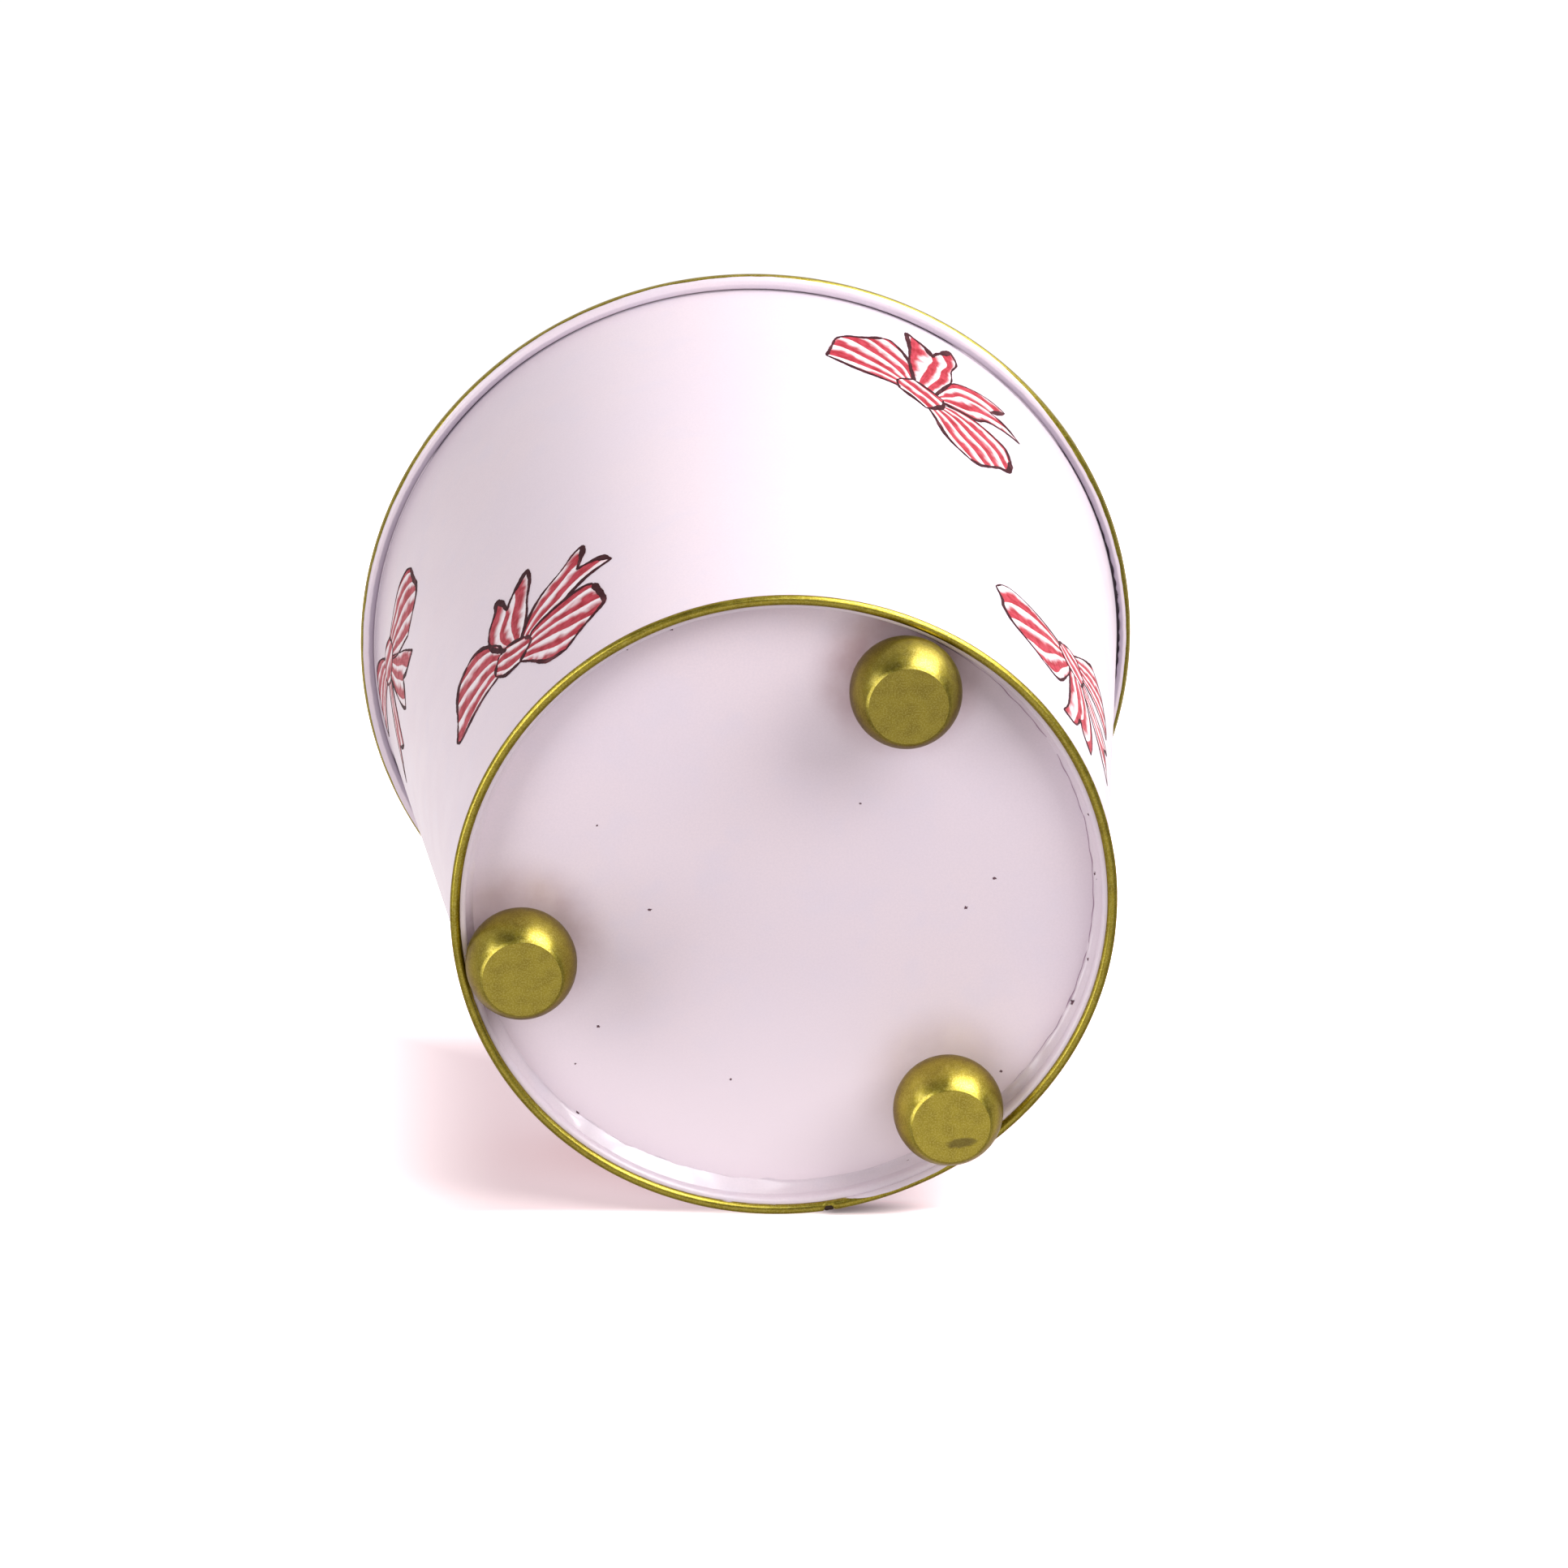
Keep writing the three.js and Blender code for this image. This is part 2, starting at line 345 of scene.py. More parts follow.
def gold_values(n, bright=1.0, smoothest=0.33, roughest=0.39):
    """Colour, roughness and bump of metallic gold paint."""
    patches = n.ramp(n.noise(2.4 * MM, 5), 0.3, 0.66)
    flakes = n.ramp(n.noise(0.28 * MM, 2), 0.42, 0.66, 0.0, 0.5)
    dark, light, flake = (tuple(bright * c for c in shade) for shade in (GOLD_DARK, GOLD, GOLD_FLAKE))
    colour = n.blend(flakes, n.blend(patches, dark, light), flake)
    roughness = n.ramp(n.noise(1.2 * MM, 4), 0.3, 0.7, smoothest, roughest)
    fine = n.bump(n.noise(0.3 * MM, 2), 0.012 * MM)
    return colour, roughness, n.bump(n.noise(2.4 * MM, 3), 0.035 * MM, fine)


def near_feet(n, reach, strengths):
    """A share that is strongest beside each foot and fades out at a distance of reach from its middle."""
    x, y, _ = n.xyz()
    share = 0.0
    for number, strength in enumerate(strengths, 1):
        low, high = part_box(f"foot_{number}")
        middle = middle_of(low, high)
        away = n.math("SQRT", n.squares(n.minus(x, middle[0]), n.minus(y, middle[1])))
        share = n.math("MAXIMUM", share, n.ramp(away, 9 * MM, reach, strength, 0.0))
    return n.times(share, n.ramp(n.noise(4 * MM, 3), 0.3, 0.7, 0.7, 1.0))


def base_enamel(name, coat, coat_roughness, painted_bounce=0.0, deep=0.0):
    """Enamel with a pinkish painted shadow round the feet. It can be made lighter towards +Y with painted
    bounce light, and dark beside the feet with painted shade.
    """
    n = Paint(name)
    colour, roughness, normal = enamel_values(n)
    _, y, _ = n.xyz()
    # Painted bounce light: lighter towards +Y.
    colour = n.blend(n.ramp(y, 8 * MM, 50 * MM, 0.0, painted_bounce), colour, LILAC_PAINTED_BOUNCE)
    # Painted shadow round each foot, of a different strength at each foot, then painted shade close beside
    # them.
    colour = n.blend(near_feet(n, 18 * MM, (0.85, 0.25, 0.6)), colour, FOOT_PAINTED_SHADOW)
    colour = n.blend(near_feet(n, 14 * MM, (deep, 0.2 * deep, 0.5 * deep)), colour, FOOT_SHADE)
    n.set(base_color=colour, roughness=roughness, normal=normal)
    n.set(coat_weight=coat, coat_roughness=coat_roughness)
    return n.material


def crevice_enamel():
    """Enamel near the mouth of the crevice, and painted shade farther in, where little light reaches."""
    n = Paint("crevice_enamel")
    colour, roughness, normal = enamel_values(n)
    # Painted shade, darker deeper into the crevice.
    deep = n.ramp(n.xyz()[2], BEAD_Z - 1.35 * MM, BEAD_Z - 0.85 * MM)
    n.set(base_color=n.blend(deep, colour, CREVICE_PAINTED_SHADE), roughness=roughness, normal=normal)
    return n.material


def gold_paint(name, bright, rubbed=None):
    """Gold paint, its colour scaled by bright: painted light, lighter or darker for each foot. Where
    rubbed is the middle of a foot, the foot's flat has a dark rub mark.
    """
    n = Paint(name)
    colour, roughness, normal = gold_values(n, bright)
    if rubbed is not None:
        x, y, z = n.xyz()
        across = n.math("DIVIDE", n.minus(x, rubbed[0] + 1.9 * MM), 3.0 * MM)
        along = n.math("DIVIDE", n.minus(y, rubbed[1] + 3.2 * MM), 1.1 * MM)
        along = n.add(along, n.times(across, 0.4))
        ragged = n.add(n.squares(across, along), n.stray(0.9 * MM, 3, 1.0))
        on_flat = n.ramp(z, 0.1 * MM, 0.3 * MM, 1.0, 0.0)
        patch = n.times(n.ramp(ragged, 0.35, 1.1, 0.62, 0.0), on_flat)
        colour = n.blend(patch, colour, RUB_MARK)
    n.set(base_color=colour, roughness=roughness, normal=normal, metallic=1.0)
    n.set(specular_tint=GOLD_EDGE, coat_weight=0.4, coat_roughness=0.3)
    return n.material


def dirt(name="dirt", dark=(0.075, 0.035, 0.045), light=(0.19, 0.11, 0.14)):
    """Dull dark colour for a break of the paint: grime in the ring's joint and in the flecks, painted
    shade in the crack.
    """
    n = Paint(name)
    tone = n.blend(n.noise(0.8 * MM, 3), dark, light)
    n.set(base_color=tone, roughness=n.ramp(n.noise(0.5 * MM, 2), 0.3, 0.7, 0.5, 0.8))
    n.set(normal=n.bump(n.noise(0.3 * MM, 2), 0.01 * MM), specular_ior_level=0.2)
    return n.material


def partly_gilded(name, gilded, coat=0.25, coat_roughness=0.14, edge=(1, 1, 1, 1), shaded=None):
    """Enamel with gold paint over it where gilded(n) is 1, and painted shade where shaded(n) is 1."""
    n = Paint(name)
    share = gilded(n)
    colour, roughness, normal = enamel_values(n)
    if shaded:
        colour = n.blend(shaded(n), colour, GROOVE_PAINTED_SHADE)
    gold_colour, gold_roughness, gold_normal = gold_values(n, 1.0, 0.31, 0.37)
    roughness = n.add(roughness, n.times(share, n.minus(gold_roughness, roughness)))
    mixed = n.new("Mix")
    mixed.data_type = "VECTOR"
    n.link(share, mixed.inputs["Factor"])
    n.link(normal, mixed.inputs[4])
    n.link(gold_normal, mixed.inputs[5])
    n.set(base_color=n.blend(share, colour, gold_colour), roughness=roughness, metallic=share)
    n.set(normal=mixed.outputs[1], coat_weight=coat, coat_roughness=coat_roughness)
    n.set(specular_tint=edge)
    return n.material


def from_axis(n, x, y):
    """Distance from the pot's axis, and the cosine of the azimuth."""
    radius = n.math("SQRT", n.squares(x, y))
    return radius, n.math("DIVIDE", x, radius)


def rim_gilding(n):
    """Gold on the outer and upper half of the rolled rim. Its hand-painted edge runs lower on +X."""
    x, y, z = n.xyz()
    radius, side = from_axis(n, x, y)
    lean = radians(52)
    out = n.times(n.minus(radius, BEAD_R), cos(lean))
    up = n.times(n.minus(z, BEAD_Z), sin(lean))
    right = n.ramp(side, 0.58, 0.86, -0.3 * MM, 0.65 * MM)
    left = n.ramp(side, -0.95, -0.4, 0.55 * MM, 0.15 * MM)
    across = n.add(out, up, n.stray(6 * MM, 3, 0.5 * MM), right, left)
    return n.ramp(across, -0.04 * MM, 0.04 * MM)


def rim_groove_painted_shade(n):
    """Painted shade on the underside of the rolled rim, beside the wall, stronger towards ±X."""
    x, y, z = n.xyz()
    radius, side = from_axis(n, x, y)
    ragged = n.add(radius, n.stray(3 * MM, 2, 0.3 * MM))
    inward = n.ramp(ragged, BEAD_R - 0.2 * MM, BEAD_R + 0.25 * MM, 1.0, 0.0)
    above = n.ramp(z, BEAD_Z - 1.74 * MM, BEAD_Z - 1.66 * MM)
    return n.times(inward, above, n.ramp(n.math("ABSOLUTE", side), 0.2, 0.85, 0.3, 0.85))


def ring_gilding(n):
    """Gold on the base ring, except where the enamel of the recess laps on to it."""
    x, y, _ = n.xyz()
    radius, _ = from_axis(n, x, y)
    toward = n.add(n.times(x, cos(LAPPED_AZIMUTH)), n.times(y, sin(LAPPED_AZIMUTH)))
    near = n.math("DIVIDE", toward, radius)
    lapped = n.ramp(near, cos(radians(13)), cos(radians(5)), 0.0, 0.7 * MM)
    edge = n.add(n.stray(4 * MM, 3, 0.35 * MM), lapped, RING_R - 1.05 * RING_WIRE)
    return n.ramp(n.minus(radius, edge), -0.03 * MM, 0.03 * MM)


def steel(name):
    """Plain bright steel, unevenly dulled."""
    n = Paint(name)
    tone = n.blend(n.noise(1.5 * MM, 4), (0.42, 0.42, 0.43), (0.62, 0.62, 0.6))
    n.set(base_color=tone, metallic=1.0, roughness=n.ramp(n.noise(0.8 * MM, 3), 0.3, 0.7, 0.25, 0.45))
    n.set(normal=n.bump(n.noise(0.3 * MM, 2), 0.01 * MM))
    return n.material


def ribbon_paint():
    """Red and white ribbon, painted wet: one red stripe for each whole step of U."""
    n = Paint("ribbon_paint")
    uv = n.new("UVMap")
    uv.uv_map = "ribbon"
    across = n.xyz(uv.outputs[0])[0]
    place = n.math("FRACT", n.add(across, n.stray(15 * MM, 1, 0.8), n.stray(0.8 * MM, 3, 0.07)))
    crisp = n.ramp(place, 0.02, 0.09)
    fade_at = n.ramp(n.noise(3.2 * MM, 2), 0.35, 0.65, 0.6, 0.84)
    faded = n.ramp(n.minus(place, fade_at), -0.24, 0.2, 1.0, 0.0)
    wet = n.noise(1.7 * MM, 4)
    streak = n.noise(1.0, 3, (0.1, 1.4, 1), uv.outputs[0])
    depth = n.times(n.add(wet, streak), 0.5)
    pigment = n.blend(n.ramp(depth, 0.4, 0.62), (0.47, 0.032, 0.058), (0.31, 0.006, 0.018))
    blush = n.ramp(n.noise(3 * MM, 3), 0.48, 0.72, 0.0, 0.42)
    paper = n.blend(blush, (0.84, 0.77, 0.80), (0.80, 0.42, 0.47))
    n.set(base_color=n.blend(n.times(crisp, faded), paper, pigment), specular_ior_level=0.1)
    n.set(roughness=n.ramp(wet, 0.3, 0.7, 0.34, 0.45), normal=n.bump(wet, 0.015 * MM))
    return n.material


def outline_paint():
    """Thin dark maroon brush line, browner and paler where the brush ran dry."""
    n = Paint("outline_paint")
    dry = n.ramp(n.noise(4 * MM, 3), 0.5, 0.75, 0.0, 0.7)
    colour = n.blend(dry, (0.042, 0.008, 0.012), (0.17, 0.05, 0.06))
    roughness = n.ramp(n.noise(1 * MM, 3), 0.3, 0.7, 0.45, 0.6)
    n.set(base_color=colour, roughness=roughness, specular_ior_level=0.05)
    n.set(normal=n.bump(n.noise(0.6 * MM, 2), 0.01 * MM))
    return n.material


# ---------------------------------------------------------------- the pot's own pieces

WALL_STEPS = 1440
CURL_END = radians(-122)
WAVY_RIM = radians(-6)  # where the rolled edge was cut and closed badly


def curl_end(angle):
    """Where the rolled edge stops, as an angle round the bead. It is uneven, and gapes in one place."""
    even = CURL_END + radians(2.2) * ripple(angle, 11, range(2, 9))
    gape = hump(angle, WAVY_RIM, 0.24)
    teeth = 0.5 + 0.5 * np.sin(150 * angle + 2 * np.sin(9 * angle) + np.sin(37 * angle))
    return even + gape * radians(9) + gape * teeth * radians(13)


def lap_height(angle):
    """Thickness that the lapped sheet adds to the wall's outer face: a step on one side, then a fade."""
    side = turn_from(SEAM_AZIMUTH, angle) * WALL_R / SEAM_LAP
    step = smooth(-0.53, -0.47, side) * (1 - smooth(0.1, 0.6, side))
    return SHEET * 0.85 * step


def wall_piece():
    """The lapped wall with its rolled rim, down to the edge that meets the base ring."""
    angle = steps_round(WALL_STEPS)
    start = pi - TAPER
    end = curl_end(angle)
    inside_bead = RIM_BEAD - SHEET

    lip_z = WALL_LOW.z
    lip_r = inner_radius(lip_z)
    lip = [(lip_r, 2.2), (lip_r + 0.04 * MM, 1.75), (lip_r + 0.16 * MM, 1.4), (lip_r + 0.4 * MM, 1.1)]
    lip += [(lip_r + 0.7 * MM, 0.95), (RING_R - 0.8 * RING_WIRE, 0.95), (RING_R - 0.6 * RING_WIRE, 1.0)]
    lip_r = np.array([[r for r, _ in lip]])
    lip_h = np.array([[lip_z + h * MM for _, h in lip]])

    up = np.linspace(0, 1, 60)[None, :] ** 1.5
    tangent_z = BEAD_Z + inside_bead * sin(start)
    face_z = RING_Z + RING_WIRE + up * (tangent_z - RING_Z - RING_WIRE)
    joint = 0.4 * MM * np.exp(-(((face_z - RING_Z) / (1.3 * RING_WIRE)) ** 2))
    ends = smooth(0.0, 0.02, up) * (1 - smooth(0.97, 0.985, up))
    dents = 0.05 * MM * ripple(angle, 5, range(2, 7)) * np.sin(pi * up)
    face_r = outer_radius(face_z) + joint + lap_height(angle) * ends + dents

    inner_arc = start + (end - start) * np.linspace(0, 1, 26)[None, 1:]
    outer_arc = end + (start - end) * np.linspace(0, 1, 44)[None, :]
    tip_arc = end - radians(9)
    tip_size = np.array([[RIM_BEAD - 0.75 * SHEET, RIM_BEAD - 0.5 * SHEET, RIM_BEAD - 0.25 * SHEET]])
    curl_r = [BEAD_R + inside_bead * np.cos(inner_arc), BEAD_R + tip_size * np.cos(tip_arc)]
    curl_z = [BEAD_Z + inside_bead * np.sin(inner_arc), BEAD_Z + tip_size * np.sin(tip_arc)]
    curl_r.append(BEAD_R + RIM_BEAD * np.cos(outer_arc))
    curl_z.append(BEAD_Z + RIM_BEAD * np.sin(outer_arc))

    down = np.linspace(1, 0, 40)[None, 1:-1]
    inside_top = BEAD_Z + RIM_BEAD * sin(start)
    inside_z = lip_z + 2.3 * MM + down * (inside_top - lip_z - 2.3 * MM)
    radius = [lip_r, face_r, *curl_r, inner_radius(inside_z)]
    height = [lip_h, face_z, *curl_z, inside_z]
    piece = turned_object("pot_wall", angle, radius, height, sharp=60)
    # The rim's underside is darkened with painted shade.
    show(piece, "lilac_enamel", partly_gilded("pot_enamel", rim_gilding, shaded=rim_groove_painted_shade), "body_wall")


def crevice_paint():
    """Paint that ran into the gap between the rolled edge and the wall: nearly full in some stretches,
    deep in others and darkened there with painted shade, with narrow bridges."""
    angle = steps_round(2880)
    filled = 1.4 * hump(angle, radians(186), 0.55) + 1.1 * hump(angle, radians(-44), 0.3)
    full = smooth(-0.15, 0.5, filled - 0.45 + 0.25 * ripple(angle, 21, range(9, 30)))
    bridges = smooth(1.75, 2.3, ripple(angle, 22, range(60, 260, 3)))
    clear = 1 - 0.9 * hump(angle, WAVY_RIM, 0.3)
    fill = np.clip(full + bridges, 0, 1) * clear
    end = curl_end(angle)
    top_z = BEAD_Z - 0.25 * MM
    deep_z = BEAD_Z - 0.55 * MM
    tip_z = BEAD_Z + (RIM_BEAD - 0.1 * MM) * np.sin(end)
    low_z = deep_z + (tip_z - deep_z) * fill
    across = np.array([[0, 0.5, 1.0]])
    wall_side = outer_radius(low_z) - 0.1 * MM
    curl_side = BEAD_R + (RIM_BEAD - 0.3 * MM) * np.cos(end) + 0.2 * MM
    low_r = wall_side + across * (curl_side - wall_side)
    low_h = low_z + 0.1 * MM * np.sin(pi * across)
    piece = turned_object("crevice_paint", angle, [low_r, low_r[:, ::-1]], [low_h, top_z])
    show(piece, "lilac_enamel", crevice_enamel())


def ring_piece():
    """The wire round the base. Paint bridges its butt joint, which shows as a nick beside a blob."""
    angle = SEAM_AZIMUTH + steps_round(2400)
    run = turn_from(SEAM_AZIMUTH, angle) * RING_R
    section = np.linspace(0, TURN, 28, endpoint=False)[None, :]
    nick = np.exp(-((run / (0.85 * MM)) ** 4))
    blob = np.exp(-(((run + 2.1 * MM) / (1.0 * MM)) ** 2))
    wire = RING_WIRE * (1 + 0.012 * ripple(angle, 31, range(3, 24)) - 0.3 * nick + 0.05 * blob)
    flat_spot = hump(angle, LAPPED_AZIMUTH, radians(9))
    centre = RING_R - 0.3 * MM * nick - 0.1 * MM * flat_spot + 0.04 * MM * ripple(angle, 32, range(2, 7))
    points = around_axis(angle, centre + wire * np.cos(section), RING_Z + wire * np.sin(section))
    piece = grid_object("base_ring_gilt", points)
    gilt = partly_gilded("ring_gilding", ring_gilding, 0.25, 0.25, GOLD_EDGE)
    show(piece, "gold_paint", gilt, "base_ring")


def joint_grime_piece():
    """Dark flux and grime packed in the outer side of the ring's joint."""
    angle = SEAM_AZIMUTH + np.linspace(-1, 1, 24)[:, None] * 0.9 * MM / RING_R
    t = np.linspace(-1, 1, 24)[:, None]
    section = np.linspace(0, TURN, 20, endpoint=False)[None, :]
    thick = 0.7 * RING_WIRE * (1 - 0.35 * t**4) * (1 + 0.06 * np.sin(3 * section + 5 * t))
    radius = RING_R + 0.2 * RING_WIRE + thick * np.cos(section)
    height = RING_Z - 0.22 * RING_WIRE + thick * np.sin(section)
    piece = grid_object("joint_grime", around_axis(angle, radius, height), wrap_rows=False)
    rework(piece.data, fill_holes)
    show(piece, "gold_paint", dirt("joint_dirt", (0.016, 0.008, 0.004), (0.045, 0.022, 0.01)))


def even_fillet_width(angle):
    """Width of the painted solder on the bottom plate, without its small unevenness."""
    even = 1.8 - 0.35 * hump(angle, radians(15), 0.4) + 0.3 * hump(angle, radians(104), 0.3)
    return MM * (even + 0.07 * ripple(angle, 41, range(3, 9)))


def fillet_width(angle):
    jagged = 0.24 * ripple(angle, 40, range(20, 90, 7)) * crisp_part(angle)
    return even_fillet_width(angle) + MM * (0.05 * ripple(angle, 42, range(9, 30)) + jagged)


def crisp_part(angle):
    """1 where the fillet is a flat slope with a sharp inner edge, and 0 where it is a soft hollow."""
    degrees = np.degrees(turn_from(0, angle))
    return smooth(86, 94, degrees) * (1 - smooth(128, 136, degrees))


def recess_wall_radius(z):
    """The painted face of the recess wall."""
    return inner_radius(z) - 0.06 * MM


def fillet_piece():
    """Thick glossy paint over the recess wall and the solder fillet, down to the bottom plate."""
    angle = steps_round(1800)
    under = PLATE_LOW.z
    width = fillet_width(angle)
    even = even_fillet_width(angle)
    height = np.minimum(1.15 * even, 2.6 * MM)
    crisp = crisp_part(angle)
    lumps = ripple(angle, 43, range(14, 60)) * (1 - 0.8 * crisp)

    lip_z = WALL_LOW.z
    lip = [(0.22, 1.2), (-0.02, 1.23), (-0.3, 1.35), (-0.5, 1.6)]
    lip_r = WALL_R + MM * (np.array([[r for r, _ in lip]]) + 0.03 * ripple(angle, 46, range(20, 70)))
    lip_h = np.array([[lip_z + h * MM for _, h in lip]])
    wall_h = np.linspace(lip_z + 2.0 * MM, under - height, 5)[:, :, 0].T
    wall_r = recess_wall_radius(wall_h) - 0.03 * MM * lumps

    t = np.linspace(1, 0, 30)[None, 1:]
    curve_r = recess_wall_radius(under - height) - width * (1 - t)
    rise = np.clip(1 - width * (1 - t) / even, 0, 1)
    step = 0.02 * MM - 0.14 * MM * crisp
    curve_h = under + step - height * rise ** (2.1 - 1.1 * crisp)
    bead = 0.05 * MM * np.exp(-(((t - 0.08) / 0.07) ** 2)) * (1 - crisp)
    curve_h = curve_h - 0.07 * MM * lumps * np.sin(pi * t) - bead
    edge_r = curve_r[:, -1:] - 0.02 * MM
    back_r = np.array([[recess_wall_radius(under) + 0.2 * MM, WALL_R - 0.3 * MM]])
    back_h = np.array([[under + 0.3 * MM, lip_z + 2.0 * MM]])

    radius = [lip_r, wall_r, curve_r, edge_r, back_r]
    height = [lip_h, wall_h, curve_h, under + 0.3 * MM, back_h]
    piece = turned_object("painted_fillet", angle, radius, height, sharp=50)
    # The fillet's enamel carries painted shadow round the feet and painted shade close beside them.
    show(piece, "lilac_enamel", base_enamel("fillet_enamel", 0.5, 0.1, deep=0.9), "solder_fillet")


def crack_piece():
    """The fine dark line where the paint has split along the inner edge of the fillet, coloured as painted
    shade in the split.
    """
    angle = np.radians(np.linspace(-62, 40, 900))[:, None]
    radius = recess_wall_radius(PLATE_LOW.z) - fillet_width(angle) - 0.12 * MM
    ends = np.clip(np.minimum(angle - angle[0], angle[-1] - angle) / 0.3, 0.15, 1)
    wander = 0.12 * np.sin(31 * angle) * np.sin(12 * angle + 2) + 0.05 * np.sin(83 * angle)
    radius = radius + wander * MM
    half = 0.07 * MM * ends * (1 + 0.4 * np.sin(57 * angle) * np.sin(19 * angle + 1))
    across = np.concatenate([radius - half, radius + half, radius + half, radius - half], 1)
    height = PLATE_LOW.z + np.array([[-0.06, -0.06, 0.2, 0.2]]) * MM
    piece = grid_object("crack_line", around_axis(angle, across, height), wrap_rows=False)
    rework(piece.data, fill_holes)
    # The split's strip is coloured with painted shade.
    show(piece, "lilac_enamel", dirt("crack_shade", (0.33, 0.21, 0.30), (0.46, 0.34, 0.43)))


# Azimuth in degrees, radius and size in millimetres of dark flecks in the paint of the bottom.
FLECKS = [
    (175, 24.1, 0.5), (143, 41.4, 0.5), (131, 55.9, 0.9), (21, 57.0, 0.95),
    (12, 57.0, 0.6), (-5, 56.7, 0.6), (-4, 56.9, 0.5), (-121, 56.2, 0.8),
    (-6, 38.3, 0.5), (40, 52.9, 0.5), (3, 33.1, 0.5), (139, 49.2, 0.3),
    (104, 36.6, 0.35), (65, 57.0, 0.5), (67, 56.9, 0.4), (168, 39.5, 0.3),
    (-54, 22.9, 0.35), (-157, 36.6, 0.35), (-17, 57.3, 0.6), (-112, 55.8, 0.5),
]
FLECK_SIDES = 14


def flecks_piece():
    """Small dark flecks and pinholes in the paint."""
    rng = np.random.default_rng(8)
    turn = np.arange(FLECK_SIDES) * TURN / FLECK_SIDES
    corners = []
    faces = []
    for azimuth, radius, size in FLECKS:
        centre = around_axis(radians(azimuth), radius * MM, fleck_height(azimuth, radius))
        ragged = size / 2 * MM * (1 + 0.25 * rng.normal(size=FLECK_SIDES))
        stretch = 1 + 0.5 * rng.random()
        outline = np.stack([ragged * np.cos(turn) * stretch, ragged * np.sin(turn), 0 * turn], 1)
        top = np.arange(FLECK_SIDES) + len(corners)
        bottom = top + FLECK_SIDES
        corners += [*(centre + outline - [0, 0, 0.05 * MM]), *(centre + outline + [0, 0, 0.25 * MM])]
        faces += [top.tolist(), bottom.tolist()]
        faces += np.stack([top, np.roll(top, -1), np.roll(bottom, -1), bottom], 1).tolist()
    mesh = new_mesh("flecks", corners, faces)
    rework(mesh)
    show(new_object("paint_flecks", mesh), "lilac_enamel", dirt())


def fleck_height(azimuth, radius):
    """Height of the painted surface at a fleck."""
    corner = recess_wall_radius(PLATE_LOW.z)
    into = (radius * MM - corner) / fillet_width(np.radians(azimuth)) + 1
    return PLATE_LOW.z - plate_sag(radius * MM) - max(0, float(into)) ** 2 * 2 * MM


PLATE_FLAT = 56.2 * MM  # radius at which the bottom plate starts to turn up into its flange
SAG = 0.12 * MM
SAG_REACH = 50 * MM


def plate_sag(radius):
    """How far the bottom plate bows downwards."""
    return SAG * np.clip(1 - (radius / SAG_REACH) ** 2, 0, 1)


def plate_piece():
    """The recessed bottom with its upturned flange, slightly bowed and uneven."""
    angle = steps_round(360)
    under = PLATE_LOW.z
    flat_r = np.concatenate([np.linspace(0, 1, 40) ** 0.8 * 52 * MM, [53.5 * MM, 55 * MM, PLATE_FLAT]])
    flat_r = flat_r[None, :]
    waves = 0.02 * MM * ripple(angle, 45, range(1, 6)) * np.sin(flat_r / (12 * MM))
    waves = waves * smooth(55 * MM, 45 * MM, flat_r)
    flat_z = under - plate_sag(flat_r) + waves

    flange_out = inner_radius(PLATE_HIGH.z) - 0.3 * MM
    bend = np.linspace(0, pi / 2, 7)[None, 1:]
    outer_r = PLATE_FLAT + (flange_out - PLATE_FLAT) * np.sin(bend)
    outer_z = under + 1.4 * MM * (1 - np.cos(bend))
    top_r = np.array([[flange_out, flange_out - SHEET]])
    top_z = np.array([[PLATE_HIGH.z, PLATE_HIGH.z]])
    inner_bend_r = flange_out - SHEET - 0.8 * MM * (1 - np.cos(bend))
    inner_bend_z = under + SHEET + 0.8 * MM * (1 - np.sin(bend))
    back_r = np.linspace(52, 0, 12)[None, :] * MM
    back_z = under + SHEET - plate_sag(back_r)

    radius = [flat_r, outer_r, top_r, inner_bend_r, back_r]
    height = [flat_z, outer_z, top_z, inner_bend_z, back_z]
    piece = turned_object("recessed_bottom", angle, radius, height, wrap_columns=False, sharp=50)
    # The bottom's enamel carries painted bounce light towards +Y and painted shadow round the feet.
    show(piece, "lilac_enamel", base_enamel("base_enamel", 0.15, 0.2, painted_bounce=0.8), "bottom_plate")


FOOT_LOW, FOOT_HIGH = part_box("foot_1")
FOOT_R = (FOOT_HIGH.x - FOOT_LOW.x) / 2
FOOT_Z = 7.6 * MM  # height of a foot's widest circle
FOOT_TOP = FOOT_HIGH.z + 0.4 * MM - FOOT_Z
RUBBED_FOOT = 2  # its flat has a dark rub mark


def foot_profile():
    """Radii and heights of a foot, from the middle of its flat to the middle of its top."""
    edge = 0.22 * MM
    flat = np.linspace(0, FOOT_FLAT_RADIUS - edge, 9)
    edge_turn = np.linspace(-pi / 2, -radians(44), 6)
    edge_r = FOOT_FLAT_RADIUS - edge + edge * np.cos(edge_turn)
    edge_z = edge + edge * np.sin(edge_turn)
    low = np.linspace(-asin((FOOT_Z - edge_z[-1]) / FOOT_LOWER_SEMI_AXIS), 0, 26)[1:]
    high = np.linspace(0, pi / 2, 30)[1:]
    radius = np.concatenate([flat, edge_r, FOOT_R * np.cos(low), FOOT_R * np.cos(high)])
    ball = np.concatenate([FOOT_LOWER_SEMI_AXIS * np.sin(low), FOOT_TOP * np.sin(high)])
    return radius, np.concatenate([0 * flat, edge_z, FOOT_Z + ball])


